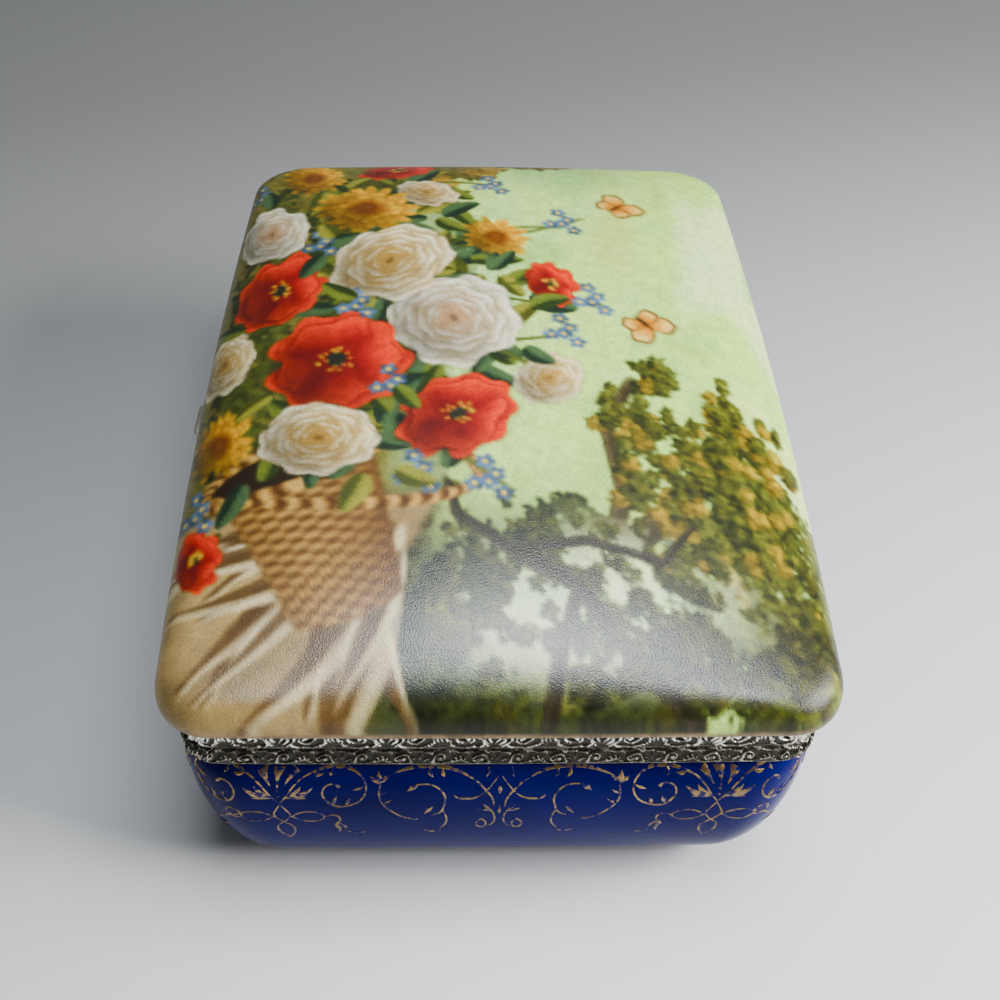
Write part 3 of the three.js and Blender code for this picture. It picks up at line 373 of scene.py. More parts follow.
flame_strokes = [
    [(8.2, 28.8, 0.2), (9, 29.3, 0.24), (10.3, 29.7, 0.26), (11.3, 28.6, 0.26), (11, 26.2, 0.2)],
    [(10.9, 27, 0.15), (10.4, 25.4, 0.55), (10.8, 23.6, 0.4), (10.5, 21.8, 0.08)],
    [(11.1, 26.2, 0.12), (12, 25, 0.35), (12.2, 23.6, 0.06)],
]
curl_strokes = [
    [(8.2, 28.8, 0.2), (9, 28, 0.24), (10.6, 28.2, 0.24), (11.4, 29.6, 0.24), (10.6, 31, 0.24),
     (9.2, 31, 0.24), (8.4, 29.8, 0.22), (9, 29.1, 0.22), (11, 27.8, 0.24), (13, 25.3, 0.22),
     (15, 22.8, 0.1)],
]
long_strokes = [
    [(19.6, 40.4, 0.2), (19.6, 41.7, 0.7), (19.4, 43.3, 0.08)],
    [(19.6, 40.6, 0.2), (18.7, 41.5, 0.5), (17.9, 42.3, 0.08)],
    [(19.6, 40.6, 0.2), (20.6, 41.5, 0.5), (21.5, 42.2, 0.08)],
    [(20.6, 42.1, 0.15), (22.6, 43, 0.24), (24.8, 43.6, 0.26), (29.3, 43.9, 0.28),
     (34.8, 43.3, 0.27), (38.3, 41.4, 0.26), (40.5, 38.5, 0.25), (41.8, 35.6, 0.24),
     (42.2, 32.7, 0.15)],
    [(29.3, 43.8, 0.15), (29.5, 42.9, 0.45), (30.1, 42.1, 0.08)],
    [(31.8, 43.7, 0.15), (32, 42.8, 0.45), (32.5, 42, 0.08)],
    [(20, 40.4, 0.2), (19.6, 37.5, 0.24), (19.9, 34.6, 0.25), (21.8, 31.2, 0.25),
     (24, 28.9, 0.24), (25.4, 28.2, 0.22)],
    [(19.7, 37, 0.12), (20.5, 37.7, 0.35), (21.3, 38.5, 0.06)],
    [(20.2, 33.7, 0.12), (21.1, 34.5, 0.38), (22, 35.3, 0.06)],
    [(25.2, 28.2, 0.2), (26, 28.1, 0.6), (26.9, 27.9, 0.12)],
    [(25.2, 38.3, 0.1), (26.2, 39.3, 0.65), (27.2, 40.3, 0.25)],
    [(27, 40.3, 0.22), (29.5, 40.3, 0.26), (31.5, 38.8, 0.27), (32.5, 36.1, 0.26),
     (32.2, 33.2, 0.25), (31.4, 30.6, 0.24), (29.8, 29.5, 0.15)],
    [(28.3, 30.2, 0.1), (29.2, 31.5, 0.5), (30, 32.8, 0.08)],
    [(31.9, 31.8, 0.15), (32.6, 28.8, 0.24), (32.5, 26.3, 0.22), (31.3, 23.8, 0.1)],
    [(28, 22.9, 0.1), (29.6, 22.3, 0.32), (31.4, 22.8, 0.08)],
    [(40, 37.5, 0.12), (38.3, 36.1, 0.3), (36.8, 35.8, 0.42), (34.8, 36.2, 0.3),
     (34.3, 37.1, 0.1)],
    [(42.8, 42.3, 0.1), (41.2, 39.5, 0.22), (40.3, 38, 0.2)],
    [(40.9, 43.8, 0.15), (40.8, 43, 0.45), (40.5, 42.2, 0.08)],
    [(41.6, 31.2, 0.15), (40.9, 32.3, 0.5), (40.1, 33.5, 0.08)],
    [(41.6, 31.2, 0.15), (40.3, 31.7, 0.4), (39.1, 32.2, 0.08)],
    [(41.6, 31.5, 0.2), (42.3, 28.7, 0.24), (41.8, 25.8, 0.22), (40.8, 24.8, 0.15)],
    [(39.6, 28.1, 0.22), (40.6, 26.2, 0.24), (39.6, 24.3, 0.22), (38.6, 26.2, 0.24),
     (39.6, 28, 0.22)],
]
centre_strokes = [
    [(0, 37.6, 0.15), (0, 38.7, 0.5), (0, 39.9, 0.15)],
    [(0, 30.2, 0.1), (0, 31.4, 0.4), (0, 33, 0.1)],
]
stretch_from = 14
end_reach = 43.2
gilding_rise = 0.00014
gilding_sunk = 0.00005
gilding_top = shoulder_height - 0.0002
thin_line = 0.72
millimetre = 0.001


def gild(strokes, place, reach, side):
    """Brushes strokes on the base. They start at a distance round the box and run to one
    side of it, and their far parts are stretched so that end_reach comes to reach."""
    brush = bpy.data.curves.new("brush", "CURVE")
    brush.dimensions = "3D"
    brush.bevel_depth = 1
    brush.bevel_resolution = 1
    brush.resolution_u = 4
    brush.use_fill_caps = True
    for stroke in strokes:
        line = brush.splines.new("BEZIER")
        line.bezier_points.add(len(stroke) - 1)
        for point, (across, up, half) in zip(line.bezier_points, stroke):
            point.co = (across, up, 0)
            point.radius = half * min(1, thin_line + 0.4 * half)
            point.handle_left_type = point.handle_right_type = "AUTO"
    drawn = bpy.data.objects.new("brush", brush)
    shape = bmesh.new()
    shape.from_mesh(drawn.to_mesh())
    drawn.to_mesh_clear()
    bpy.data.objects.remove(drawn)
    bpy.data.curves.remove(brush)
    far_stretch = (reach - stretch_from) / (end_reach - stretch_from) - 1
    for vert in shape.verts:
        across, up, rise = vert.co
        across += far_stretch * max(0, across - stretch_from)
        height = min(up * millimetre, gilding_top)
        proud = max(-gilding_sunk, min(gilding_rise, 0.5 * rise * millimetre))
        inset = bulge(height)
        distance = place + side * across * millimetre
        vert.co = (*plan(distance, inset - proud, base_radius(inset)), height)
    bmesh.ops.recalc_face_normals(shape, faces=shape.faces)
    return shape


def gather(shapes):
    """Joins several bmeshes into one."""
    whole = bmesh.new()
    for shape in shapes:
        loose = bpy.data.meshes.new("loose")
        shape.to_mesh(loose)
        shape.free()
        whole.from_mesh(loose)
        bpy.data.meshes.remove(loose)
    return whole


long_reach = (quarter_round / millimetre - end_reach) / 2
end_palmette = end_reach * millimetre
side_centre = end_palmette + long_reach * millimetre
gilt_shapes = []
for end_middle in (0, 2 * quarter_round):
    gilt_shapes.append(gild(centre_strokes, end_middle, end_reach, 1))
    for side in (1, -1):
        corner = end_middle + side * end_palmette
        side_middle = end_middle + side * quarter_round
        inner = scroll_strokes + flame_strokes + long_strokes
        outer = scroll_strokes + curl_strokes + long_strokes
        gilt_shapes.append(gild(inner, corner, end_reach, -side))
        gilt_shapes.append(gild(outer, corner, long_reach, side))
        gilt_shapes.append(gild(inner, side_middle, long_reach, -side))
        gilt_shapes.append(gild(palmette_strokes, corner, end_reach, 1))
        gilt_shapes.append(gild(centre_strokes, end_middle + side * side_centre, end_reach, 1))
for side_middle in (quarter_round, 3 * quarter_round):
    gilt_shapes.append(gild(palmette_strokes, side_middle, long_reach, 1))
put("gilding", gather(gilt_shapes), gilding, "base", "body_porcelain", sharp=60)

# Rims: two bands of stamped metal, silver plated and darkened in the hollows. The lid's has
# large scrolls and leaves, the base's a finer trellis of the same, and each is turned in to
# a flange along the parting line. Flat pads are left for the clasp and the hinge.


def times(finish, value, factor):
    return step(finish, "Math", {0: value, 1: factor}, operation="MULTIPLY")["Value"]


antique = new_finish("antique_silver", Metallic=1.0)
hollow = read(antique, "hollow")
tarnish = times(antique, clouds(antique, 260.0, 5.0), hollow)
deep = step(antique, "Math", {0: hollow, 1: tarnish}, operation="ADD")["Value"]
silver = ramp(
    antique, deep, (0.2, (1, 0.98, 0.9)), (0.6, (0.54, 0.51, 0.42)), (1, (0.042, 0.039, 0.029))
)
dull = between(antique, deep, 0.1, 0.5)
chasing = times(antique, clouds(antique, 700.0, 3.0, 2.5), hollow)
feed(antique, Base_Color=silver, Roughness=dull, Normal=dents(antique, chasing, 0.7, 0.0004))

rim_inset = 0.0035
rim_radius = 0.007
rim_bead = 0.0006
rim_back = rim_inset + 0.0013
flange_end = rim_inset + 0.0062
flange = 0.001
base_rim_flare = 0.0003
lid_rim_bottom, lid_rim_top = 0.04965, 0.0567
base_rim_bottom, base_rim_top = 0.0446, 0.04935
rim_columns = 2816
lid_rim_rows, base_rim_rows = 28, 22
# Relief: the height of a ridge as wide as full_ridge, and how fast it fades at an edge
rim_depth = 0.00065
ground_depth = 0.0003
full_ridge = 0.3
edge_fade = 24
# Tarnish runs from 0, bright, to 1, black, and wear takes it off the ridges
lid_rim_wear, base_rim_wear = 1.15, 0.85
edge_tarnish = 0.45
pad_tarnish = 0.15
pad_back = 0.0606
hinge_pad = 0.019
clasp_pad = 0.0066


def ridge_height(across, up, strokes, repeat):
    """Height of the stamped ridges at points of a repeating pattern, from 0 to 1."""
    round_repeat = 2 * math.pi * across / repeat
    across = across + 0.22 * np.sin(3 * round_repeat + 1.1 * up)
    across = across + 0.12 * np.sin(7 * round_repeat - 1.7 * up)
    up = up + 0.16 * np.sin(2 * round_repeat + 0.6) + 0.12 * np.sin(5 * round_repeat + 1.3 * up)
    height = np.zeros(np.broadcast(across, up).shape)
    for stroke in strokes:
        for (x0, y0, w0), (x1, y1, w1) in zip(stroke, stroke[1:]):
            for shift in (-repeat, 0, repeat):
                along_x, along_y = x1 - x0, y1 - y0
                away_x, away_y = across - x0 - shift, up - y0
                length = along_x**2 + along_y**2
                share = np.clip((away_x * along_x + away_y * along_y) / length, 0, 1)
                width = w0 + share * (w1 - w0)
                off = (away_x - share * along_x) ** 2 + (away_y - share * along_y) ** 2
                tall = np.minimum(1, width / full_ridge)
                height = np.maximum(height, tall * np.clip(1 - off / width**2, 0, 1) ** 0.8)
    return height


def point_from(x, y, reach, angle):
    return x + reach * math.cos(angle), y + reach * math.sin(angle)


def coil(x, y, radius, turns, start, way, width):
    """Stroke of a scroll that winds in to its eye, which is a round knob."""
    points = []
    steps = int(turns * 12)
    for i in range(steps):
        share = i / steps
        angle = start + way * 2 * math.pi * turns * share
        reach = radius * (1 - share) ** 0.8
        points.append((*point_from(x, y, reach, angle), width * (1 - 0.25 * share)))
    return [*points, (x, y, width * 1.8)]


def leaf(x, y, length, angle, bend, width):
    """Stroke of a leaf that starts thin, swells and bends to a point."""
    points = [(x, y, 0.3 * width)]
    for share, wide in ((0.25, 0.8), (0.5, 1), (0.75, 0.7), (1, 0.15)):
        tip = point_from(x, y, length * share, angle + bend * share)
        points.append((*tip, wide * width))
    return points


def fan(x, y, hub, count, first, last, short, long, bend, width):
    """Leaves that spread round a hub, the middle ones the longest. Angles in degrees."""
    leaves = []
    for i in range(count):
        share = i / (count - 1)
        angle = math.radians(first + (last - first) * share)
        length = short + (long - short) * math.sin(math.pi * share)
        root = point_from(x, y, hub, angle)
        leaves.append(leaf(*root, length - hub, angle, bend * (1 - 2 * share), width))
    return leaves


def feathers(x, y, radius, count, first, last, length, way, width):
    """Short leaves that stand round a scroll and lean along it."""
    leaves = []
    for i in range(count):
        angle = math.radians(first + (last - first) * i / (count - 1))
        root = point_from(x, y, radius, angle)
        leaves.append(leaf(*root, length, angle - 0.7 * way, way, width))
    return leaves


lid_rim_repeats, base_rim_repeats = 32, 44
lid_rim_strokes = [
    coil(3.6, 3.4, 2.2, 1.7, math.pi, -1, 0.27),
    coil(12.4, 3.7, 2.1, 1.7, 0, 1, 0.27),
    [(1.4, 3.4, 0.22), (0.8, 1.9, 0.24), (1.9, 0.6, 0.22), (4.2, 0.3, 0.2), (6.4, 1.1, 0.2)],
    [(14.5, 3.7, 0.22), (15.4, 2.1, 0.24), (14.6, 0.7, 0.22), (12, 0.3, 0.2), (9.8, 1.1, 0.2)],
    [(5.9, 6.8, 0.16), (7, 5.9, 0.2), (8.1, 5.6, 0.26), (9.2, 5.9, 0.2), (10.3, 6.8, 0.16)],
]
lid_rim_strokes += fan(8.1, 1.1, 0.9, 7, 10, 170, 2.4, 4.6, 0.8, 0.24)
lid_rim_strokes += fan(17, 0.5, 1, 6, 20, 160, 2.6, 5.6, 0.7, 0.26)
lid_rim_strokes += fan(3.6, 7, 0.2, 4, 205, 335, 1, 1.3, 0.5, 0.2)
lid_rim_strokes += fan(12.4, 7, 0.2, 4, 205, 335, 1, 1.2, 0.5, 0.2)
lid_rim_strokes += feathers(3.6, 3.4, 2.7, 9, -40, 250, 1.4, 1, 0.24)
lid_rim_strokes += feathers(12.4, 3.7, 2.6, 9, 220, -70, 1.4, -1, 0.24)

base_rim_strokes = [
    coil(3, 2.5, 1.35, 1.3, math.pi, -1, 0.23),
    coil(9.4, 2.4, 1.35, 1.3, 0, 1, 0.23),
    [(1.65, 2.5, 0.2), (1.4, 1.3, 0.2), (3, 0.8, 0.2), (5, 1.3, 0.2), (6.2, 2.4, 0.22),
     (7.4, 1.3, 0.2), (9.6, 0.8, 0.2), (11, 1.2, 0.2), (10.8, 2.4, 0.2)],
    [(0, 4.2, 0.22), (3, 4.4, 0.16), (6.2, 4.2, 0.22), (9.4, 4.4, 0.16), (12.7, 4.2, 0.22)],
]
for middle in (1.5, 4.7, 7.8, 11):
    base_rim_strokes += fan(middle, 4.7, 0.2, 4, 210, 330, 0.9, 1.3, 0.5, 0.19)
base_rim_strokes += fan(6.2, 1.2, 0.7, 5, 20, 160, 2, 2.9, 0.5, 0.21)
base_rim_strokes += fan(12.7, 0.6, 0.7, 5, 22, 158, 1.8, 3.3, 0.5, 0.21)
base_rim_strokes += feathers(3, 2.5, 1.7, 7, -40, 230, 0.9, 1, 0.2)
base_rim_strokes += feathers(9.4, 2.4, 1.7, 7, 220, -50, 0.9, -1, 0.2)


def make_rim(repeats, strokes, bottom, top, flare, rows, wear, edge_rings):
    """Stamped band. Its face is pulled down in rows from the top, and edge_rings close it
    at the back. Wear is how far the ridges are rubbed bright."""
    marks = [round_the_box * i / rim_columns for i in range(rim_columns)]
    shape = bmesh.new()
    sunk = shape.verts.layers.float.new("hollow")
    shares = [i / rows for i in range(rows + 1)]
    face_rings = []
    for share in shares:
        swell = rim_bead * math.sqrt(abs(math.sin(math.pi * share)))
        height = top + (bottom - top) * share
        face_rings.append((rim_inset - swell - flare * share, rim_radius, height))
    first = first_ring(shape, marks, face_rings[0])
    loops = [first]
    for ring in face_rings[1:]:
        loops.append(next_ring(shape, loops[-1], marks, ring))
    back = pull(shape, loops[-1], marks, edge_rings)
    bmesh.ops.bridge_loops(shape, edges=edges_of(shape, back) + edges_of(shape, first))
    repeat = round_the_box / repeats / millimetre
    across = np.arange(rim_columns // repeats) * repeat / (rim_columns // repeats)
    for loop, share, ring in zip(loops, shares, face_rings):
        inset, radius, height = ring
        ridges = ridge_height(across, (height - bottom) / millimetre, strokes, repeat)
        edge = min(1, edge_fade * share, edge_fade * (1 - share))
        for vert, mark, ridge in zip(loop, marks, np.tile(ridges, repeats)):
            proud = edge * (ridge * rim_depth - ground_depth)
            x, y = plan(mark, inset - proud, radius)
            vert[sunk] = (1 - wear * ridge) * edge + edge_tarnish * (1 - edge)
            if abs(x) < hinge_pad and y > pad_back + middle_y:
                y = pad_back + middle_y
                vert[sunk] = pad_tarnish
            if abs(x) < clasp_pad and y < middle_y - pad_back:
                y = middle_y - pad_back
                vert[sunk] = pad_tarnish
            vert.co = (x, y, height)
    bmesh.ops.recalc_face_normals(shape, faces=shape.faces)
    return shape


base_rim_edges = [
    (rim_back, rim_radius, base_rim_bottom),
    (rim_back, rim_radius, base_rim_top - flange),
    (flange_end, rim_radius - 0.004, base_rim_top - flange),
    (flange_end, rim_radius - 0.004, base_rim_top),
    (rim_inset + 0.0004, rim_radius, base_rim_top),
]
base_rim_shape = make_rim(
    base_rim_repeats, base_rim_strokes, base_rim_bottom, base_rim_top, base_rim_flare,
    base_rim_rows, base_rim_wear, base_rim_edges,
)
put("base_collar", base_rim_shape, antique, "base", "rim_metal", "base_rim", sharp=50)
lid_rim_edges = [
    (rim_inset + 0.0004, rim_radius, lid_rim_bottom),
    (flange_end, rim_radius - 0.004, lid_rim_bottom),
    (flange_end, rim_radius - 0.004, lid_rim_bottom + flange),
    (rim_back, rim_radius, lid_rim_bottom + flange),
    (rim_back, rim_radius, lid_rim_top),
]
lid_rim_shape = make_rim(
    lid_rim_repeats, lid_rim_strokes, lid_rim_bottom, lid_rim_top, 0,
    lid_rim_rows, lid_rim_wear, lid_rim_edges,
)
# Lug that holds the stop wire down while the lid is shut
lug_low = Vector((-0.0757, 0.0456, lid_rim_bottom))
lug_high = Vector((-0.0687, 0.0562, lid_rim_bottom + flange))
lug_size = Matrix.Diagonal((*(lug_high - lug_low), 1))
lug_place = Matrix.Translation((lug_low + lug_high) / 2)
bmesh.ops.create_cube(lid_rim_shape, size=1, matrix=lug_place @ lug_size)
put("lid_collar", lid_rim_shape, antique, "lid", "rim_metal", "lid_rim", sharp=50)

# Picture on the lid: a transfer print of a still life in a garden, a basket tipped over with
# roses, poppies and asters spilling from it under a tree. It is painted dab by dab on a
# sheet of half-millimetre cells, in millimetres from the middle, and then laid on the dome.

cell = 0.5
sheet_right, sheet_top = 92, 67
columns = int(2 * sheet_right / cell) + 1
rows = int(2 * sheet_top / cell) + 1
sheet_x = np.linspace(-sheet_right, sheet_right, columns)[None, :]
sheet_y = np.linspace(-sheet_top, sheet_top, rows)[:, None]
sheet = np.zeros((rows, columns, 3))
draw = random.Random(11)


def tint(*levels):
    return np.array(levels) / 255


def mixed(dark, light, share):
    return dark * (1 - share) + light * share


def smooth(value, low, high):
    share = np.clip((value - low) / (high - low), 0, 1)
    return share * share * (3 - 2 * share)


def drift(size, seed, stretch=1.0):
    """Soft random field over the sheet, from 0 to 1, with features of about a size."""
    chance = np.random.default_rng(seed)
    total = np.zeros((rows, columns))
    for octave in range(4):
        step_y = size / 2**octave
        step_x = step_y * stretch
        grid = chance.random((int(2 * sheet_top / step_y) + 3, int(2 * sheet_right / step_x) + 3))
        at_y = (sheet_y[:, 0] + sheet_top) / step_y
        at_x = (sheet_x[0] + sheet_right) / step_x
        low_y, low_x = at_y.astype(int), at_x.astype(int)
        part_y = (at_y - low_y)[:, None]
        part_x = (at_x - low_x)[None, :]
        part_y = part_y**2 * (3 - 2 * part_y)
        part_x = part_x**2 * (3 - 2 * part_x)
        under = mixed(grid[low_y][:, low_x], grid[low_y][:, low_x + 1], part_x)
        above = mixed(grid[low_y + 1][:, low_x], grid[low_y + 1][:, low_x + 1], part_x)
        total += mixed(under, above, part_y) / 2**octave
    return total / (1 + 1 / 2 + 1 / 4 + 1 / 8)


def lay_paint(window, cover, colour):
    """Covers part of the sheet with a colour."""
    cover = cover[..., None]
    sheet[window] = mixed(sheet[window], colour, cover)


def near(x, y, reach):
    """Window of the sheet round a point, with its cells' distances from the point."""
    left = max(0, int((x - reach + sheet_right) / cell))
    right = min(columns, int((x + reach + sheet_right) / cell) + 2)
    bottom = max(0, int((y - reach + sheet_top) / cell))
    top = min(rows, int((y + reach + sheet_top) / cell) + 2)
    window = (slice(bottom, top), slice(left, right))
    return window, sheet_x[:, left:right] - x, sheet_y[bottom:top] - y


def turn_to(away_x, away_y, angle):
    """Distances along a direction and off it."""
    along = away_x * math.cos(angle) + away_y * math.sin(angle)
    return along, away_y * math.cos(angle) - away_x * math.sin(angle)


def dab(x, y, length, width, angle, colour, strength=1.0):
    """Oval touch of the brush."""
    window, away_x, away_y = near(x, y, max(length, width) + cell)
    along, off = turn_to(away_x, away_y, angle)
    edge = np.hypot(along / length, off / width)
    soft = cell / min(length, width)
    lay_paint(window, strength * np.clip((1 - edge) / soft + 0.5, 0, 1), colour)


def tilt(away_x, away_y, lean, squash):
    """Distances from a flower's middle as they would be if it faced out of the picture."""
    along, off = turn_to(away_x, away_y, lean)
    return turn_to(along, off / squash, -lean)


def petal(x, y, length, width, angle, light, dark, ruffle=0.0, hidden=0.05, lean=0.0, squash=1.0):
    """Petal that points away from a point: dark where it is joined or comes out from under
    the next petals, light at its rim."""
    window, away_x, away_y = near(x, y, length * 1.25)
    along, off = turn_to(*tilt(away_x, away_y, lean, squash), angle)
    along, off = along / length, off / width
    round_petal = np.arctan2(off, along - 0.5)
    rim = 0.5 * (1 + ruffle * np.sin(5 * round_petal + 9 * angle))
    edge = np.hypot((along - 0.5), off * (0.62 + 0.38 * (1 - along))) / rim
    soft = 1.3 * cell / min(length, width)
    cover = np.clip((1 - edge) / soft + 0.5, 0, 1)
    shadow = np.clip((1.18 - edge) / 0.3, 0, 1) * (1 - cover) * 0.35
    lay_paint(window, shadow, dark * 0.45)
    streaks = 0.5 + 0.5 * np.sin(26 * off / (0.35 + np.abs(along)) + 5 * angle)
    share = smooth(along, hidden, 1.0) * 0.85 + 0.12 * streaks * along - 0.22 * np.abs(off)
    share = np.clip(share + 0.25 * smooth(edge, 0.75, 1), 0, 1)[..., None]
    lay_paint(window, cover, mixed(dark, light, share))


def round_off(x, y, radius, lean, squash, depth=0.3):
    """Darkens a flower away from the light, which comes from the upper left."""
    window, away_x, away_y = near(x, y, radius * 1.1)
    away_x, away_y = tilt(away_x, away_y, lean, squash)
    inside = np.clip((1 - np.hypot(away_x, away_y) / radius) * 5, 0, 1)
    slope = (0.6 * away_x - 0.8 * away_y) / radius
    sheet[window] *= 1 - (inside * depth * np.clip(slope + 0.15, -0.3, 1))[..., None]


# Rings of a rose: reach, number of petals, width of a petal
rose_rings = (
    (1, 5, 0.8), (0.88, 5, 0.75), (0.7, 5, 0.66), (0.54, 4, 0.56), (0.4, 4, 0.42), (0.26, 3, 0.3),
)


def rose(x, y, radius, light, dark, heart, lean=0.0, squash=1.0):
    """Full bloom of overlapping petals that close in on its heart."""
    turned = draw.uniform(0, 6)
    for ring, (reach, count, wide) in enumerate(rose_rings):
        for i in range(count):
            place = 2 * math.pi * (i + 0.5 * (ring % 2)) / count
            angle = turned + place + draw.uniform(-0.15, 0.15)
            share = ring / len(rose_rings)
            length = radius * reach * draw.uniform(0.93, 1.04)
            lit, shaded = light * (1 - 0.12 * share), dark * (1 - share) + heart * share * 0.9
            petal(x, y, length, radius * wide, angle, lit, shaded, 0.07, 0.66, lean, squash)
    dab(x, y, radius * 0.09, radius * 0.05, lean, heart * 0.6, 0.8)
    round_off(x, y, radius, lean, squash)


def poppy(x, y, radius, light, dark, lean=0.0, squash=1.0):
    """Open flower of broad ruffled petals round a dark eye."""
    turned = draw.uniform(0, 6)
    for ring, (reach, count) in enumerate(((1, 4), (0.8, 4))):
        for i in range(count):
            angle = turned + 2 * math.pi * (i + 0.5 * ring) / count + draw.uniform(-0.2, 0.2)
            length = radius * reach * draw.uniform(0.9, 1.05)
            petal(x, y, length, radius * 0.95, angle, light, dark, 0.12, 0.15, lean, squash)
    round_off(x, y, radius, lean, squash, 0.4)
    dab(x, y, radius * 0.15, radius * 0.12, lean, tint(50, 52, 40))
    for i in range(22):
        angle = draw.uniform(0, 2 * math.pi)
        reach = radius * draw.uniform(0.14, 0.28)
        at_x, at_y = tilt(*point_from(0, 0, reach, angle), lean, 1 / squash)
        dab(x + at_x, y + at_y, 0.5, 0.4, angle, tint(226, 190, 96), 0.75)


def aster(x, y, radius, light, dark, eye, lean=0.0, squash=1.0):
    """Flower of many narrow petals."""
    for reach, count in ((1, 19), (0.8, 17), (0.58, 13)):
        for i in range(count):
            angle = 2 * math.pi * i / count + draw.uniform(-0.12, 0.12)
            length = radius * reach * draw.uniform(0.82, 1.04)
            bright = draw.uniform(0.85, 1.06)
            petal(x, y, length, radius * 0.19, angle, light * bright, dark, 0, 0.3, lean, squash)
    round_off(x, y, radius, lean, squash, 0.4)
    dab(x, y, radius * 0.2, radius * 0.2 * squash, lean, eye * 0.7)
    for i in range(14):
        angle, reach = 2.4 * i, radius * 0.05 * math.sqrt(i)
        at_x, at_y = tilt(*point_from(0, 0, reach, angle), lean, 1 / squash)
        dab(x + at_x, y + at_y, 0.5, 0.4, 0, eye, 0.8)


def blade(x, y, length, width, angle, light, dark):
    """Pointed leaf with a light and a dark half and a pale rib."""
    window, away_x, away_y = near(x, y, length + 1)
    along, off = turn_to(away_x, away_y, angle)
    along, off = along / length, off / width
    off = off - 0.25 * np.sin(math.pi * np.clip(along, 0, 1)) * math.cos(3 * angle)
    rim = np.sqrt(np.clip(along * (1 - along) * 4, 0, 1)) * (1 - 0.35 * along)
    cover = np.clip((rim - np.abs(off)) * width / cell + 0.5, 0, 1) * (along > 0) * (along < 1)
    veins = 0.5 + 0.5 * np.sin(34 * along - 16 * np.abs(off))
    share = 0.5 + 0.45 * np.sign(off) * smooth(np.abs(off), 0, 0.2) + 0.12 * (veins - 0.5)
    lay_paint(window, cover, mixed(dark, light, np.clip(share, 0, 1)[..., None]))
    rib = np.clip(1 - np.abs(off) * width / (0.5 * cell), 0, 1)
    lay_paint(window, cover * rib * 0.5, light * 1.15)


def foliage(x, y, wide, high, count, size, dark, light):
    """Mass of leaves as small dabs, darkest below and light where the sun meets it."""
    for i in range(count):
        share = i / count
        spread = math.sqrt(draw.random())
        angle = draw.uniform(0, 2 * math.pi)
        at_x = x + wide * spread * math.cos(angle) * (1 - 0.25 * share)
        at_y = y + high * spread * math.sin(angle) * (1 - 0.25 * share)
        lit = share * 0.75 + 0.35 * (at_y - y) / high - 0.15 * (at_x - x) / wide
        lit = min(1, max(0, lit + draw.uniform(-0.25, 0.2)))
        length = size * draw.uniform(0.6, 1.25)
        turned = draw.uniform(0, math.pi)
        dab(at_x, at_y, length, length * 0.5, turned, mixed(dark, light, lit), 0.85)


def masses(size, dark, light, *places):
    """Masses of leaves over (x, y, half width, half height, count)."""
    for place in places:
        foliage(*place, size, dark, light)


def bough(points, thick, colour, lit):
    """Branch or trunk as overlapping dabs along a line, with a lit side."""
    for (x0, y0), (x1, y1) in zip(points, points[1:]):
        length = math.hypot(x1 - x0, y1 - y0)
        angle = math.atan2(y1 - y0, x1 - x0)
        for i in range(int(length / 0.7) + 1):
            share = i * 0.7 / length
            at_x, at_y = x0 + (x1 - x0) * share, y0 + (y1 - y0) * share
            leaning = angle + draw.gauss(0, 0.1)
            dab(at_x, at_y, 2.6, thick, leaning, colour * draw.uniform(0.85, 1.12), 0.5)
            lit_x = at_x - thick * 0.45 * math.sin(angle)
            lit_y = at_y + thick * 0.45 * math.cos(angle)
            dab(lit_x, lit_y, 1.6, thick * 0.3, angle, lit * draw.uniform(0.85, 1.1), 0.55)
        thick *= 0.86


def stalk(x0, y0, x1, y1, bend):
    """Thin curved stem."""
    for i in range(60):
        share = i / 59
        x = x0 + (x1 - x0) * share + bend * math.sin(math.pi * share)
        y = y0 + (y1 - y0) * share
        dab(x, y, 0.75, 0.45, 1.5, tint(96, 108, 56) * (0.8 + 0.4 * share), 0.8)


# Sky, distance and meadow
everywhere = (slice(None), slice(None))
sky_height = smooth(sheet_y, -24, 60)[..., None] * np.ones((1, columns, 1))
sheet[:] = mixed(tint(222, 250, 174), tint(204, 236, 148), sky_height)
lay_paint(everywhere, 0.5 * smooth(drift(44, 1, 1.7), 0.45, 0.75), tint(192, 232, 182))
lay_paint(everywhere, 0.5 * smooth(drift(24, 5, 2.2), 0.5, 0.8), tint(210, 216, 140))
lay_paint(everywhere, 0.7 * smooth(drift(30, 2, 1.9), 0.5, 0.7), tint(240, 252, 208))
lay_paint(everywhere, 0.45 * smooth(drift(11, 27, 1.8), 0.5, 0.72), tint(168, 204, 128))
skyline = -14 + 7 * (drift(26, 3) - 0.5) + 9 * np.exp(-((sheet_x + 30) / 26) ** 2)
far_trees = smooth(skyline - sheet_y, -1.5, 1.5)
lay_paint(everywhere, 0.75 * far_trees, tint(158, 176, 132))
for i in range(260):
    x = draw.uniform(-90, 90)
    top = -13 + 9 * math.exp(-((x + 30) / 26) ** 2)
    y = top + draw.uniform(-7, 1.5)
    hazy = mixed(tint(128, 150, 104), tint(186, 194, 140), draw.random())
    dab(x, y, 2.6, 1.6, draw.uniform(0, 3), hazy, 0.5)
meadow = smooth(-22 - sheet_y + 3 * drift(20, 4), -4, 6)
lay_paint(everywhere, meadow, tint(134, 130, 74))
for i in range(1500):
    x, y = draw.uniform(-92, 92), draw.uniform(-67, -22)
    grass = mixed(tint(104, 104, 54), tint(160, 154, 90), draw.random())
    grass = grass * (1 - 0.28 * smooth(-y, 24, 64))
    dab(x, y, draw.uniform(1, 3), 0.6, draw.gauss(0.9, 0.5), grass, 0.45)

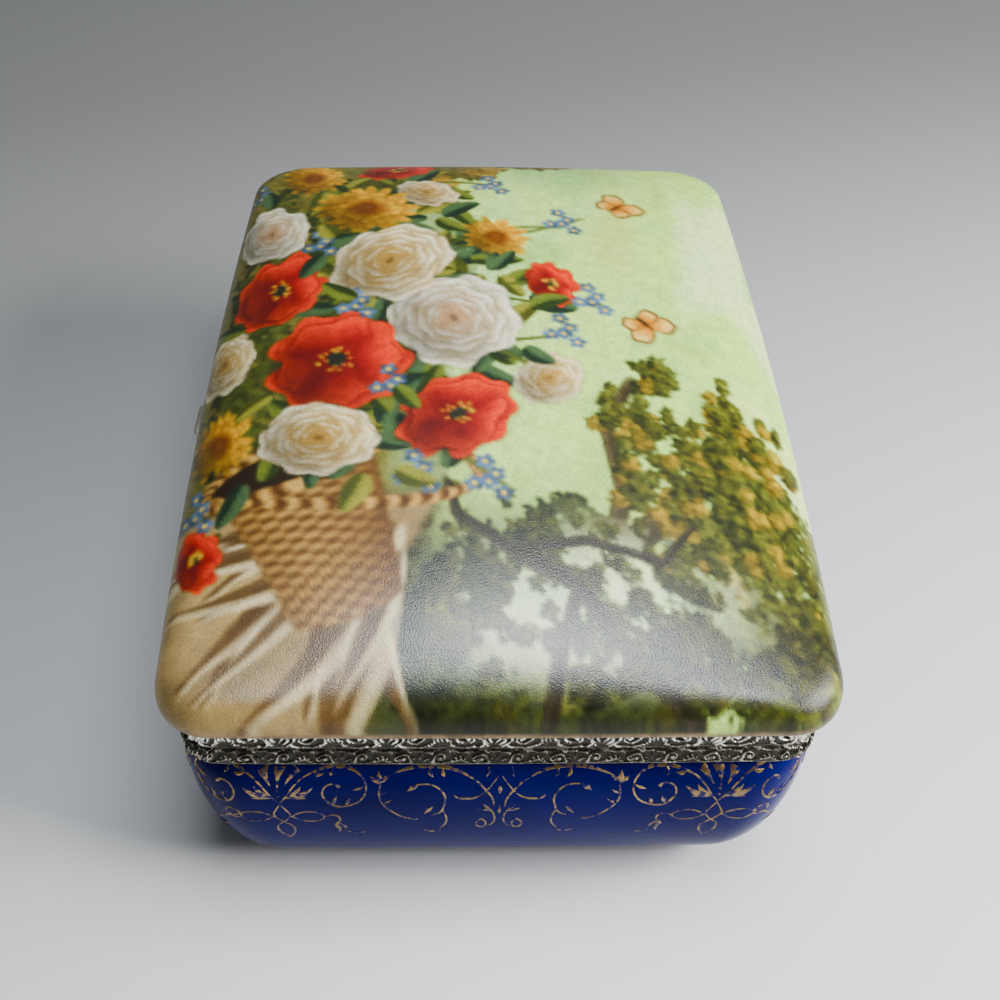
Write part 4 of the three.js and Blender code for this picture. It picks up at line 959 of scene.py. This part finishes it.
# Tree at the right, with boughs over the sky
bark = tint(74, 68, 46), tint(142, 130, 92)
bough([(84, -50), (78, -24), (70, 0), (60, 20), (46, 36), (28, 46)], 5.2, *bark)
bough([(70, 0), (78, 22), (76, 46), (70, 64)], 3.4, *bark)
bough([(60, 20), (44, 24), (26, 22), (12, 28)], 2, *bark)
olive = tint(34, 38, 16), tint(138, 142, 66)
ochre = tint(92, 80, 32), tint(210, 184, 88)
masses(
    1.1, *olive,
    (80, 52, 18, 16, 1100), (62, 40, 16, 12, 800), (84, 24, 12, 16, 760), (44, 50, 15, 10, 640),
    (60, 60, 20, 8, 520), (86, -6, 9, 14, 460), (76, -34, 20, 12, 700), (88, -54, 20, 12, 520),
)
tuft = random.Random(12)
for x, y, wide, high, tufts in (
    (20, 47, 7, 6, 26), (32, 42, 8, 7, 34), (44, 34, 7, 8, 30), (26, 30, 8, 4, 22),
    (34, 56, 10, 4, 24), (50, 50, 9, 8, 34), (60, 36, 8, 8, 26), (10, 32, 5, 4, 16),
    (70, 52, 9, 8, 20), (22, 23, 6, 3, 12), (38, 25, 6, 3, 10),
):
    for i in range(tufts):
        at_x, at_y = x + tuft.gauss(0, 0.6 * wide), y + tuft.gauss(0, 0.6 * high)
        tones = ochre if tuft.random() < 0.3 else olive
        foliage(at_x, at_y, tuft.uniform(1.6, 3.2), tuft.uniform(1.2, 2.4), 26, 0.9, *tones)

# Hedge and shrubs at the left
masses(
    1.5, tint(72, 70, 30), tint(168, 158, 84),
    (-84, -8, 15, 13, 420), (-70, -20, 16, 10, 360), (-88, 12, 9, 12, 200),
)
masses(
    1.2, tint(120, 96, 40), tint(214, 182, 100),
    (-80, -2, 9, 7, 110), (-88, 16, 6, 8, 70), (-66, -14, 8, 6, 80),
)
masses(
    1.7, tint(44, 52, 26), tint(112, 122, 62),
    (-50, -34, 26, 12, 520), (0, -30, 34, 12, 560), (44, -40, 24, 14, 480), (-10, -54, 70, 9, 700),
)

# Thicket in deep shade at the near edge
deep_shade = np.exp(-(((sheet_x - 82) / 30) ** 2 + ((sheet_y + 2) / 26) ** 2) ** 2)
lay_paint(everywhere, 0.92 * deep_shade, tint(40, 42, 24))
masses(
    1.3, tint(28, 32, 16), tint(92, 98, 46),
    (78, 0, 26, 20, 1700), (58, 12, 14, 10, 400), (88, 26, 10, 12, 380),
)
masses(1.1, tint(60, 62, 28), tint(146, 144, 68), (72, -10, 8, 5, 90), (84, 10, 7, 6, 90))

# Gaps where the sky shows through the thicket, with leaves and boughs before them
gap = random.Random(31)
gap_area = np.exp(-((((sheet_x - 69) / 17) ** 2 + ((sheet_y - 14) / 34) ** 2) ** 2))
gaps = smooth(drift(9, 31, 1.5) + 0.35 * (drift(2.2, 33) - 0.5), 0.46, 0.54) * gap_area
lay_paint(everywhere, 0.95 * gaps, tint(234, 250, 212))
loose_leaf = tint(40, 44, 22), tint(112, 116, 56)
for i in range(110):
    x, y = gap.gauss(69, 10), gap.gauss(14, 20)
    wide, high = gap.uniform(1.5, 3), gap.uniform(1, 2)
    foliage(x, y, wide, high, 16, 0.9, *loose_leaf)
twig = tint(52, 48, 34), tint(96, 92, 66)
bough([(92, 34), (78, 22), (66, 14), (58, 2), (50, -8), (42, -10)], 1.7, *twig)
bough([(92, 8), (80, 10), (66, 14)], 1.5, *twig)
bough([(58, 2), (56, 16), (60, 30), (52, 36)], 1.2, *twig)
for i in range(64):
    x, y = gap.gauss(80, 7), gap.gauss(42, 14)
    foliage(x, y, 3, 2.4, 26, 1, tint(34, 36, 16), tint(104, 102, 48))

# Linen cloth that lies in folds under the basket
slant = sheet_y + 0.35 * (sheet_x - 60) + 5 * (drift(18, 21) - 0.5)
cloth = smooth(sheet_x + 6 * (drift(14, 22) - 0.5), 44, 47) * smooth(-slant, 17, 19)
lay_paint(everywhere, 0.5 * smooth(-slant, 13, 19) * smooth(sheet_x, 40, 46), tint(58, 46, 26))
linen, linen_light, linen_shade = tint(188, 166, 124), tint(240, 228, 196), tint(104, 82, 54)
rumple = np.clip(drift(16, 23) + 0.4 * (drift(4, 25) - 0.5), 0, 1)[..., None]
lay_paint(everywhere, cloth, linen * (0.7 + 0.45 * rumple))
crease = random.Random(5)
for i in range(19):
    first_angle = -1.5 + 1.42 * i / 18 + crease.uniform(-0.05, 0.05)
    start, length, bend = crease.uniform(6, 26), crease.uniform(22, 46), crease.uniform(-0.3, 0.3)
    wide = crease.uniform(0.8, 1.9)
    for k in range(70):
        share = k / 69
        angle = first_angle + bend * share
        x, y = point_from(47, -18, start + length * share, angle)
        broad = wide * (0.4 + 1.1 * math.sin(math.pi * min(1, share + 0.15)))
        dab(x, y, 1.8, broad, angle, linen_shade, 0.3)
        side_x, side_y = -1.3 * broad * math.sin(angle), 1.3 * broad * math.cos(angle)
        dab(x + side_x, y + side_y, 1.8, 0.8 * broad, angle, linen_light, 0.22)

# Basket, tipped over, with its woven side and rim
weave_dark, weave_light = tint(92, 62, 32), tint(214, 180, 122)
basket_x, basket_y, basket_turn = 52, -34, 0.35
window, away_x, away_y = near(basket_x, basket_y, 30)
along, off = turn_to(away_x, away_y, basket_turn)
side_half = 17 - 0.16 * (along + 20)
mouth_side = np.clip(along + 20 - off**2 / 60, 0, 1)
bottom_side = np.clip(22 - along - off**2 / 50, 0, 1)
cover = np.clip(side_half - np.abs(off), 0, 1) * mouth_side * bottom_side
stakes = np.sin(off / side_half * 14)
strands = np.sin(along * 2.1 + math.pi * (stakes > 0))
roundness = 1 - 0.55 * (np.abs(off + 3) / side_half) ** 2
woven = (0.45 + 0.4 * strands * np.abs(stakes) ** 0.4) * roundness + 0.1
lay_paint(window, cover, mixed(weave_dark, weave_light, np.clip(woven, 0, 1)[..., None]))
mouth_x, mouth_y = point_from(basket_x, basket_y, -19, basket_turn)
dab(mouth_x, mouth_y, 6, 18.5, basket_turn, tint(52, 40, 24))
cane_light = weave_light * 1.08
for i in range(150):
    arc = 2 * math.pi * i / 150
    forward, aside = turn_to(6.2 * math.cos(arc), 19 * math.sin(arc), -basket_turn)
    cane = mixed(weave_dark, cane_light, 0.5 + 0.5 * math.sin(i * 0.9))
    dab(mouth_x + forward, mouth_y + aside, 1.9, 1, basket_turn + arc + 0.6, cane)
for i in range(170):
    arc = math.pi * i / 170
    rise, aside = 2 + 30 * math.sin(arc), 19 * math.cos(arc)
    x = mouth_x + rise * 0.2 - aside * math.sin(basket_turn) + 4 * math.sin(arc)
    y = mouth_y + rise + aside * math.cos(basket_turn)
    cane = mixed(weave_dark, cane_light, 0.5 + 0.5 * math.sin(i * 0.8))
    dab(x, y, 1.5, 0.9, arc + 1 + 0.5 * math.sin(i), cane)

# Leaves and flowers that spill from the basket
leaf_tones = (
    (tint(128, 140, 70), tint(50, 66, 32)),
    (tint(164, 164, 88), tint(82, 88, 40)),
    (tint(92, 118, 84), tint(38, 56, 42)),
)
for i in range(130):
    x = draw.uniform(-72, 40)
    y = -30 + 12 * math.sin((x + 80) / 38) + draw.gauss(0, 11)
    tones = draw.choice(leaf_tones)
    blade(x, y, draw.uniform(9, 16), draw.uniform(2.4, 4), draw.uniform(0, 2 * math.pi), *tones)

cream = tint(246, 238, 212), tint(196, 176, 132), tint(206, 170, 104)
white = tint(250, 246, 232), tint(192, 188, 160), tint(226, 186, 150)
red = tint(226, 92, 46), tint(138, 38, 18)
golden = tint(232, 190, 92), tint(140, 92, 28), tint(150, 96, 30)

# Stems, then the flowers from the far ones to the near
for stem in (
    (-16, -8, -21, 13, -2), (-18, -6, -14, 24, 2), (-36, -12, -45, 16, -3), (-40, -8, -50, 22, 3),
    (0, -6, -3, 16, 1), (2, -4, 12, 11, -2), (-36, -8, -40, 1, 1), (-74, -34, -80, -24, 1),
    (30, -20, 44, 2, -3), (50, -54, 55, -58, 0), (-66, -26, -66, 2, -3),
):
    stalk(*stem)
aster(-40, 1, 10, *golden, 0.5, 0.8)
rose(12, 11, 9, *cream, 2.6, 0.8)
poppy(-21, 13, 9, *red, 0.3, 0.65)
poppy(-80, -24, 10, *red, 1.9, 0.7)
rose(-63, -16, 9, *cream, 0.8, 0.75)
rose(-8, -9, 17, *white, 0.4, 0.88)
poppy(23, -8, 14, *red, 2.4, 0.8)
aster(-56, -31, 14, *golden, 0.9, 0.85)
rose(-31, -24, 16, *cream, 2.7, 0.88)
aster(-78, -46, 12, *golden, 0.4, 0.7)
poppy(4, -34, 17, *red, 0.2, 0.9)
rose(28, -36, 13, *cream, 1.2, 0.82)
rose(-50, -54, 13, *white, 0.2, 0.75)
poppy(-24, -49, 14, *red, 2.9, 0.75)
rose(-2, -60, 11, *cream, 0.1, 0.7)
aster(25, -57, 11, *golden, 0.2, 0.7)
poppy(55, -58, 8, *red, 0.3, 0.7)

# Sprigs of small blue flowers, and leaves between the blooms
for x, y in (
    (-14, -31), (42, -2), (-66, 0), (14, -22), (-40, -41), (44, -60), (-70, -60), (-3, 15),
    (-47, 17), (-15, 22), (40, -16),
):
    for i in range(5):
        at_x = x + 2.7 * math.cos(2.4 * i) * math.sqrt(i)
        at_y = y + 2 * math.sin(2.4 * i) * math.sqrt(i)
        for k in range(5):
            angle = 2 * math.pi * k / 5 + i
            small_blue = tint(96, 118, 146) * draw.uniform(0.8, 1.25)
            dab(*point_from(at_x, at_y, 1.1, angle), 1, 0.75, angle, small_blue)
        dab(at_x, at_y, 0.6, 0.6, 0, tint(240, 214, 120))
for x, y, angle in (
    (-17, -31, 4), (14, -21, 0.6), (-43, -38, 3.6), (13, -47, 5.4), (-36, -40, 5.8),
    (-68, -36, 2.4), (38, -20, 1.1), (-12, 8, 2), (2, 6, 0.9), (-26, 0, 2.6), (-50, -12, 2.2),
    (-12, -56, 4.4), (38, -50, 5.9), (-64, -56, 3.4),
):
    tones = draw.choice(leaf_tones)
    blade(x, y, draw.uniform(8, 12), draw.uniform(2.4, 3.4), angle, *tones)

# Butterflies over the flowers, and the mottle of the printing
wing, wing_dark, wing_edge = tint(248, 228, 160), tint(206, 138, 62), tint(122, 84, 46)
for x, y, angle in ((-9, 33, 0.7), (-57, 31, 2.4)):
    for side in (1, -1):
        for reach, wide, spread in ((7.4, 4.4, 0.8), (5, 3.6, 1.95)):
            turned = angle + side * spread
            petal(x, y, reach, wide, turned, wing_edge, wing_edge, 0.05)
            petal(x, y, reach - 0.7, wide - 0.7, turned, wing, wing_dark, 0.05)
    dab(x, y, 2.6, 0.5, angle, tint(64, 50, 36))
mottle = 0.96 + 0.08 * drift(1.6, 8)[..., None]
warmth = (drift(7, 9)[..., None] - 0.5) * 0.06
sheet[:] = np.clip(sheet * mottle * (1 + warmth * np.array((1, 0.3, -1))), 0, 1)

# Lid: a pillow of porcelain, white where it is bare, with a printed picture under a satin
# glaze on top and a painted gilt line round the edge. A lip inside drops into its rim.

lid_corner = 0.0105
lid_edge = 0.057
lid_top = 0.075
edge_thickness = 0.0024
lip_outside, lip_inside = 0.0051, 0.0081
lip_corner = 0.007
lip_bottom = 0.051
under_dome, under_top = 0.0608, 0.0712
dull_below, bright_above = 0.0605, 0.065
# The flat grid is wider than the lid by crowding, which packs its rows at the edge
crowding = 0.003
corner_growth = 1.1
corner_blend = 8.0
edge_blend = 0.005
end_fullness, side_fullness, fullness = 2.8, 2, 0.39
grid_x = half_length + crowding
grid_y = half_width + crowding
grid_columns, grid_rows = 352, 250
tiny = 1e-6


def crown(x, y, inset):
    """Height of the dome: a pillow that is full in the middle and drops fast at its edge."""
    ends = 1 - np.abs(x / half_length) ** end_fullness
    pillow = ends * (1 - np.abs(y / half_width) ** side_fullness)
    strip = 1 - (1 - np.clip(inset / half_width, 0, 1)) ** 2
    at_edge = np.exp(-((inset / edge_blend) ** 2))
    share = np.clip(strip * at_edge + pillow * (1 - at_edge), 0, 1)
    low = lid_edge + edge_thickness / 2
    return low + (lid_top - low) * share**fullness


def bend_to_dome(flat_x, flat_y):
    """Carries points of a flat rectangle to the dome of the lid, and says where the print
    that wraps round it is over each. Rows crowd at the edge, and the rectangle's corners
    are rounded ring by ring."""
    across_x, across_y = np.abs(flat_x), np.abs(flat_y)
    depth = np.minimum(grid_x - across_x, grid_y - across_y)
    inset = depth - crowding * (1 - np.exp(-depth / crowding))
    half_x, half_y = half_length - inset, np.maximum(half_width - inset, tiny)
    wanted, most = lid_corner + corner_growth * inset, radius_limit * half_y
    radius = 1 / (wanted**-corner_blend + most**-corner_blend) ** (1 / corner_blend)
    x = across_x / np.maximum(grid_x - depth, tiny) * half_x
    y = across_y / np.maximum(grid_y - depth, tiny) * half_y
    on_end = grid_x - across_x <= grid_y - across_y
    share = np.where(on_end, y - (half_y - radius), x - (half_x - radius)) / radius
    angle = np.clip(share, 0, 1) * math.pi / 4
    angle = np.where(on_end, angle, math.pi / 2 - angle)
    turned = share > 0
    x = np.where(turned, half_x - radius + radius * np.cos(angle), x)
    y = np.where(turned, half_y - radius + radius * np.sin(angle), y)
    bow = side_bow * half_y / half_width
    bowed_x = x * (1 - end_bow / half_x * (y / half_y) ** 2) * np.sign(flat_x)
    bowed_y = y * (1 - bow / half_y * (x / half_x) ** 2) * np.sign(flat_y)
    facing = np.where(turned, angle, np.where(on_end, 0, math.pi / 2))
    wrap = crowding * np.exp(-inset / crowding)
    print_x = bowed_x + wrap * np.cos(facing) * np.sign(flat_x)
    print_y = bowed_y + wrap * np.sin(facing) * np.sign(flat_y)
    return bowed_x, bowed_y + middle_y, crown(x, y, inset), print_x, print_y


lid = bmesh.new()
bmesh.ops.create_grid(lid, x_segments=grid_columns, y_segments=grid_rows, size=1)
flat = np.array([v.co[:2] for v in lid.verts])
dome = np.stack(bend_to_dome(flat[:, 0] * grid_x, flat[:, 1] * grid_y), axis=1)
for vert, place in zip(lid.verts, dome[:, :3]):
    vert.co = place
dome_count = len(dome)
dome_edges = [e for e in lid.edges if e.is_boundary]
lid_marks = stations(end_steps=14, corner_steps=16, side_steps=20)
lid_rings = [
    (0.00015, lid_corner, lid_edge + 0.0007),
    (0.0004, lid_corner, lid_edge + 0.00035),
    (0.0011, lid_corner, lid_edge),
    (lip_outside, lip_corner, lid_edge),
    (lip_outside, lip_corner, lip_bottom + 0.0002),
    (lip_inside, lip_corner, lip_bottom),
    (lip_inside, lip_corner, under_dome),
]
under_steps = 7
for i in range(1, under_steps + 1):
    share = (i / under_steps) ** 1.8 * 0.84
    inset = lip_inside + share * (half_width - lip_inside)
    height = under_dome + (under_top - under_dome) * math.sqrt(1 - (1 - share) ** 2)
    lid_rings.append((inset, lip_corner + 0.5 * (inset - lip_inside), height))
edge_loop = first_ring(lid, lid_marks, lid_rings[0])
edge_loop_edges = edges_of(lid, edge_loop)
lid.faces.new(pull(lid, edge_loop, lid_marks, lid_rings[1:]))
bmesh.ops.bridge_loops(lid, edges=dome_edges + edge_loop_edges)
bmesh.ops.recalc_face_normals(lid, faces=lid.faces)

picture = new_finish(
    "printed_picture", Specular_IOR_Level=0.12, Coat_Weight=1.0, Coat_Roughness=0.25, Coat_IOR=1.36
)
gilt, inked = read(picture, "gilt"), read(picture, "inked")
blotch = clouds(picture, 420.0, 3.0)
grain_shade = ramp(
    picture, clouds(picture, 2400.0, 2.0), (0.3, (0.8, 0.8, 0.78)), (0.7, (1.15, 1.15, 1.15))
)
blotch_shade = ramp(picture, blotch, (0.3, (0.86, 0.88, 0.84)), (0.7, (1.1, 1.08, 1.06)))
gold_line = ramp(picture, blotch, (0.35, (0.15, 0.085, 0.03)), (0.6, (0.33, 0.215, 0.09)))
printing = blend(picture, inked, read(picture, "paint", "Color"), grain_shade, "MULTIPLY")
printing = blend(picture, inked, printing, blotch_shade, "MULTIPLY")
colour = blend(picture, gilt, printing, gold_line)
metal = times(picture, gilt, 0.7)
satin = between(picture, blotch, 0.36, 0.5)
spot = step(picture, "TexCoord", {})["Object"]
tall = step(picture, "SeparateXYZ", {"Vector": spot})["Z"]
# The glaze shines less along the edge
glaze_here = between(picture, tall, 0.25, 1.0, dull_below, bright_above)
pores = dents(picture, clouds(picture, 3200.0, 3.0), 0.6, 0.00012)
feed(picture, Base_Color=colour, Metallic=metal, Roughness=satin, Normal=pores)
feed(picture, Coat_Weight=glaze_here, Coat_Normal=pores)


def mark(piece, name, values):
    """Writes a number on each vertex of a piece."""
    piece.data.attributes.new(name, "FLOAT", "POINT").data.foreach_set("value", values)


# The print is looked up on the sheet at each vertex of the dome
lid_piece = put("lid_porcelain", lid, picture, "lid", "lid_porcelain", "lid_shell")
lid_count = len(lid_piece.data.vertices)
bare_white = (0.74, 0.73, 0.69)
richness = 1.25
depth_of_print = 1.2
cell_x = (dome[:, 3] / millimetre + sheet_right) / cell
cell_y = (dome[:, 4] / millimetre + sheet_top) / cell
column = np.clip(cell_x.astype(int), 0, columns - 2)
row = np.clip(cell_y.astype(int), 0, rows - 2)
part_x = np.clip(cell_x - column, 0, 1)[:, None]
part_y = np.clip(cell_y - row, 0, 1)[:, None]
under = mixed(sheet[row, column], sheet[row, column + 1], part_x)
above = mixed(sheet[row + 1, column], sheet[row + 1, column + 1], part_x)
# The tints are screen colours, and the attribute holds linear ones
printed = ((mixed(under, above, part_y) + 0.055) / 1.055) ** 2.4
level = printed.mean(axis=1)[:, None]
vivid = np.clip(level + richness * (printed - level), 0.003, 1)
painted = np.tile((*bare_white, 1.0), (lid_count, 1))
painted[:dome_count, :3] = vivid**depth_of_print
colours = lid_piece.data.attributes.new("paint", "FLOAT_COLOR", "POINT")
colours.data.foreach_set("color", painted.ravel())
gilt_below = lid_edge + edge_thickness / 2 + 0.0001
heights = np.array([v.co.z for v in lid_piece.data.vertices])
on_dome = np.arange(lid_count) < dome_count
on_edge = np.arange(lid_count) < dome_count + 3 * len(lid_marks)
mark(lid_piece, "gilt", np.where(on_dome, heights < gilt_below, on_edge).astype(float))
mark(lid_piece, "inked", on_dome.astype(float))

# Hinge and clasp: pressed from the same plated metal as the rims and soldered to their flat
# pads. The plate of the clasp springs over a turned knob, and a pin runs through the hinge.

light_tarnish = 0.4
sharp_turn = 0.6


def soften(name, node, width, finish, body, slot, segments=2):
    """Copy of a CAD node with its sharp edges rounded over."""
    shape = bmesh.new()
    shape.from_mesh(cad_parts[node].data)
    bmesh.ops.remove_doubles(shape, verts=shape.verts, dist=1e-6)
    bmesh.ops.dissolve_limit(
        shape, angle_limit=math.radians(1), verts=shape.verts, edges=shape.edges
    )
    paired = [e for e in shape.edges if len(e.link_faces) == 2]
    sharp = [e for e in paired if e.calc_face_angle() > sharp_turn]
    bmesh.ops.bevel(
        shape, geom=sharp, offset=width, offset_type="OFFSET", segments=segments, profile=0.5,
        affect="EDGES", clamp_overlap=True, material=-1,
    )
    piece = put(name, shape, finish, body, slot, node)
    mark(piece, "hollow", [light_tarnish] * len(piece.data.vertices))


def finish_nodes(finish, *nodes):
    """Gives CAD nodes that are shown as they are a finer material."""
    for node in nodes:
        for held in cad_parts[node].material_slots:
            held.material = finish


soften("clasp", "clasp_plate", 0.00025, antique, "lid", "rim_metal")
soften("hinge_leaf_lid", "lid_hinge_leaf", 0.00015, antique, "lid", "rim_metal")
soften("hinge_leaf_base", "base_hinge_leaf", 0.00015, antique, "base", "rim_metal")
finish_nodes(antique, "clasp_knob", "hinge_pin")

# Flocked inserts: thin moulded trays covered with a short blue pile, one for the jewellery
# and one that hides the movement and leaves a shallow tray above it.

flock = new_finish(
    "blue_flock", Roughness=1.0, Specular_IOR_Level=0.1, Sheen_Weight=0.35, Sheen_Roughness=0.5,
    Sheen_Tint=(0.6, 0.66, 0.85, 1),
)
pile = clouds(flock, 2600.0, 2.0)
nap = ramp(
    flock, times(flock, pile, clouds(flock, 60.0, 3.0)),
    (0.15, (0.006, 0.011, 0.045)), (0.25, (0.014, 0.024, 0.085)), (0.4, (0.035, 0.055, 0.16)),
)
feed(flock, Base_Color=nap, Normal=dents(flock, pile, 0.5, 0.0003))
soften("jewel_compartment", "jewel_tray", 0.0005, flock, "base", "flocking", 3)
soften("ring_compartment", "movement_cover", 0.0005, flock, "base", "flocking", 3)

# Movement: an eighteen-note musical box movement on a die-cast bedplate. Brass wheels and
# cylinder are turned and brushed, and the comb, arbors and screws are polished steel.

brass = new_finish("movement_brass", Metallic=1.0)
patina = clouds(brass, 180.0, 4.0)
yellow = ramp(brass, patina, (0.3, (0.55, 0.36, 0.12)), (0.7, (0.78, 0.56, 0.24)))
turning = dents(brass, clouds(brass, 2400.0, 1.0), 0.15, 0.0001)
feed(brass, Base_Color=yellow, Roughness=between(brass, patina, 0.22, 0.38), Normal=turning)

steel = new_finish("movement_steel", Metallic=1.0)
bloom = clouds(steel, 220.0, 4.0)
grey = ramp(steel, bloom, (0.3, (0.42, 0.43, 0.45)), (0.7, (0.62, 0.62, 0.62)))
spot = step(steel, "TexCoord", {})["Object"]
drawn = step(steel, "Mapping", {"Vector": spot, "Scale": (300.0, 3000.0, 3000.0)})["Vector"]
grinding = step(steel, "TexNoise", {"Vector": drawn, "Scale": 1.0, "Detail": 2.0})["Fac"]
ground = dents(steel, grinding, 0.12, 0.0001)
feed(steel, Base_Color=grey, Roughness=between(steel, bloom, 0.18, 0.34), Normal=ground)

casting = new_finish("bedplate_casting", Metallic=0.85)
skin = clouds(casting, 900.0, 5.0)
zinc = ramp(casting, skin, (0.35, (0.2, 0.2, 0.205)), (0.65, (0.36, 0.36, 0.355)))
rough_skin = dents(casting, skin, 0.35, 0.0002)
feed(casting, Base_Color=zinc, Roughness=between(casting, skin, 0.42, 0.62), Normal=rough_skin)

finish_nodes(
    brass, "end_bracket", "spring_barrel", "barrel_cap", "pin_cylinder", "cylinder_gear",
    "cylinder_pinion", "transfer_wheel", "governor_fan",
)
finish_nodes(
    steel, "mounting_screw_1", "mounting_screw_2", "mounting_screw_3", "bracket_screw_1",
    "bracket_screw_2", "comb", "comb_screw_1", "comb_screw_2", "winding_arbor", "mainspring",
    "cylinder_arbor", "transfer_pinion", "transfer_arbor", "governor_worm", "stop_wire",
)
finish_nodes(casting, "bedplate")

# Winding key under the base: a stamped brass wing brazed to a hub that screws on the arbor,
# small enough to turn within the foot ring.

soften("key", "winding_key", 0.0003, brass, "winding", "movement_brass")

# Floor, soft light and the camera. The floor is a plain sheet whose colour is painted darker away
# from the camera and a little to the left, a painted fall-off of the light. Lamps stand overhead
# and at the right, and one makes the highlight that a window leaves on the lid. The camera looks
# from where the photograph was taken.

floor_shape = bmesh.new()
bmesh.ops.create_grid(floor_shape, x_segments=1, y_segments=1, size=3)
floor_finish = new_finish("floor", Roughness=0.55)
spot = step(floor_finish, "TexCoord", {})["Object"]
# Painted fall-off of the light: the floor's colour runs from dark grey far from the camera to near
# white close to it
towards = {0: spot, 1: (0.98, 0.17, 0.0)}
along_floor = step(floor_finish, "VectorMath", towards, operation="DOT_PRODUCT")["Value"]
painted_light_share = between(
    floor_finish, along_floor, 0.0, 1.0, -0.28, 0.2, interpolation_type="SMOOTHSTEP"
)
painted_falloff = ramp(floor_finish, painted_light_share, (0, (0.21, 0.213, 0.21)), (1, (0.8, 0.81, 0.82)))
feed(floor_finish, Base_Color=painted_falloff)
make("floor", floor_shape, floor_finish)


def panel(name, place, size, power, colour=(1, 1, 1), aim=(0, 0, 0.05)):
    """Area light that faces the box."""
    light = bpy.data.lights.new(name, "AREA")
    light.shape = "RECTANGLE"
    light.size, light.size_y = size
    light.energy = power
    light.color = colour
    lamp = bpy.data.objects.new(name, light)
    lamp.location = place
    lamp.rotation_euler = (Vector(aim) - Vector(place)).to_track_quat("-Z", "Y").to_euler()
    bpy.context.scene.collection.objects.link(lamp)
    return lamp


panel("overhead", (0.08, 0.14, 0.84), (0.5, 0.3), 5, (0.92, 0.96, 1), (-0.04, 0.13, 0.05))
panel("right", (0.15, 0.57, 0.38), (0.34, 0.3), 10.5, aim=(0, 0, 0.03))
sheen = panel("window", (0.0, 0.1, 0.86), (0.46, 0.34), 19, (0.88, 0.94, 1), (-0.1, 0.13, 0.05))
sheen.visible_diffuse = False
world = bpy.data.worlds.new("studio")
bpy.context.scene.world = world
world.use_nodes = True
room = world.node_tree.nodes["Background"].inputs
room["Color"].default_value = (0.6, 0.62, 0.62, 1)
room["Strength"].default_value = 0.16

camera_place = Vector((0.211646, -0.006107, 0.244928))
camera_forward = Vector((-0.6938168, 0.0319381, -0.719443))
camera_right = Vector((0.0208069, 0.9994881, 0.0243043))
camera_data = bpy.data.cameras.new("camera")
camera_data.lens = 45
camera_data.sensor_width = 36
camera_data.clip_start = 0.01
camera = bpy.data.objects.new("camera", camera_data)
bpy.context.scene.collection.objects.link(camera)
camera_up = camera_right.cross(camera_forward)
turned = Matrix((camera_right, camera_up, -camera_forward)).transposed().to_4x4()
camera.matrix_world = Matrix.Translation(camera_place) @ turned
bpy.context.scene.camera = camera
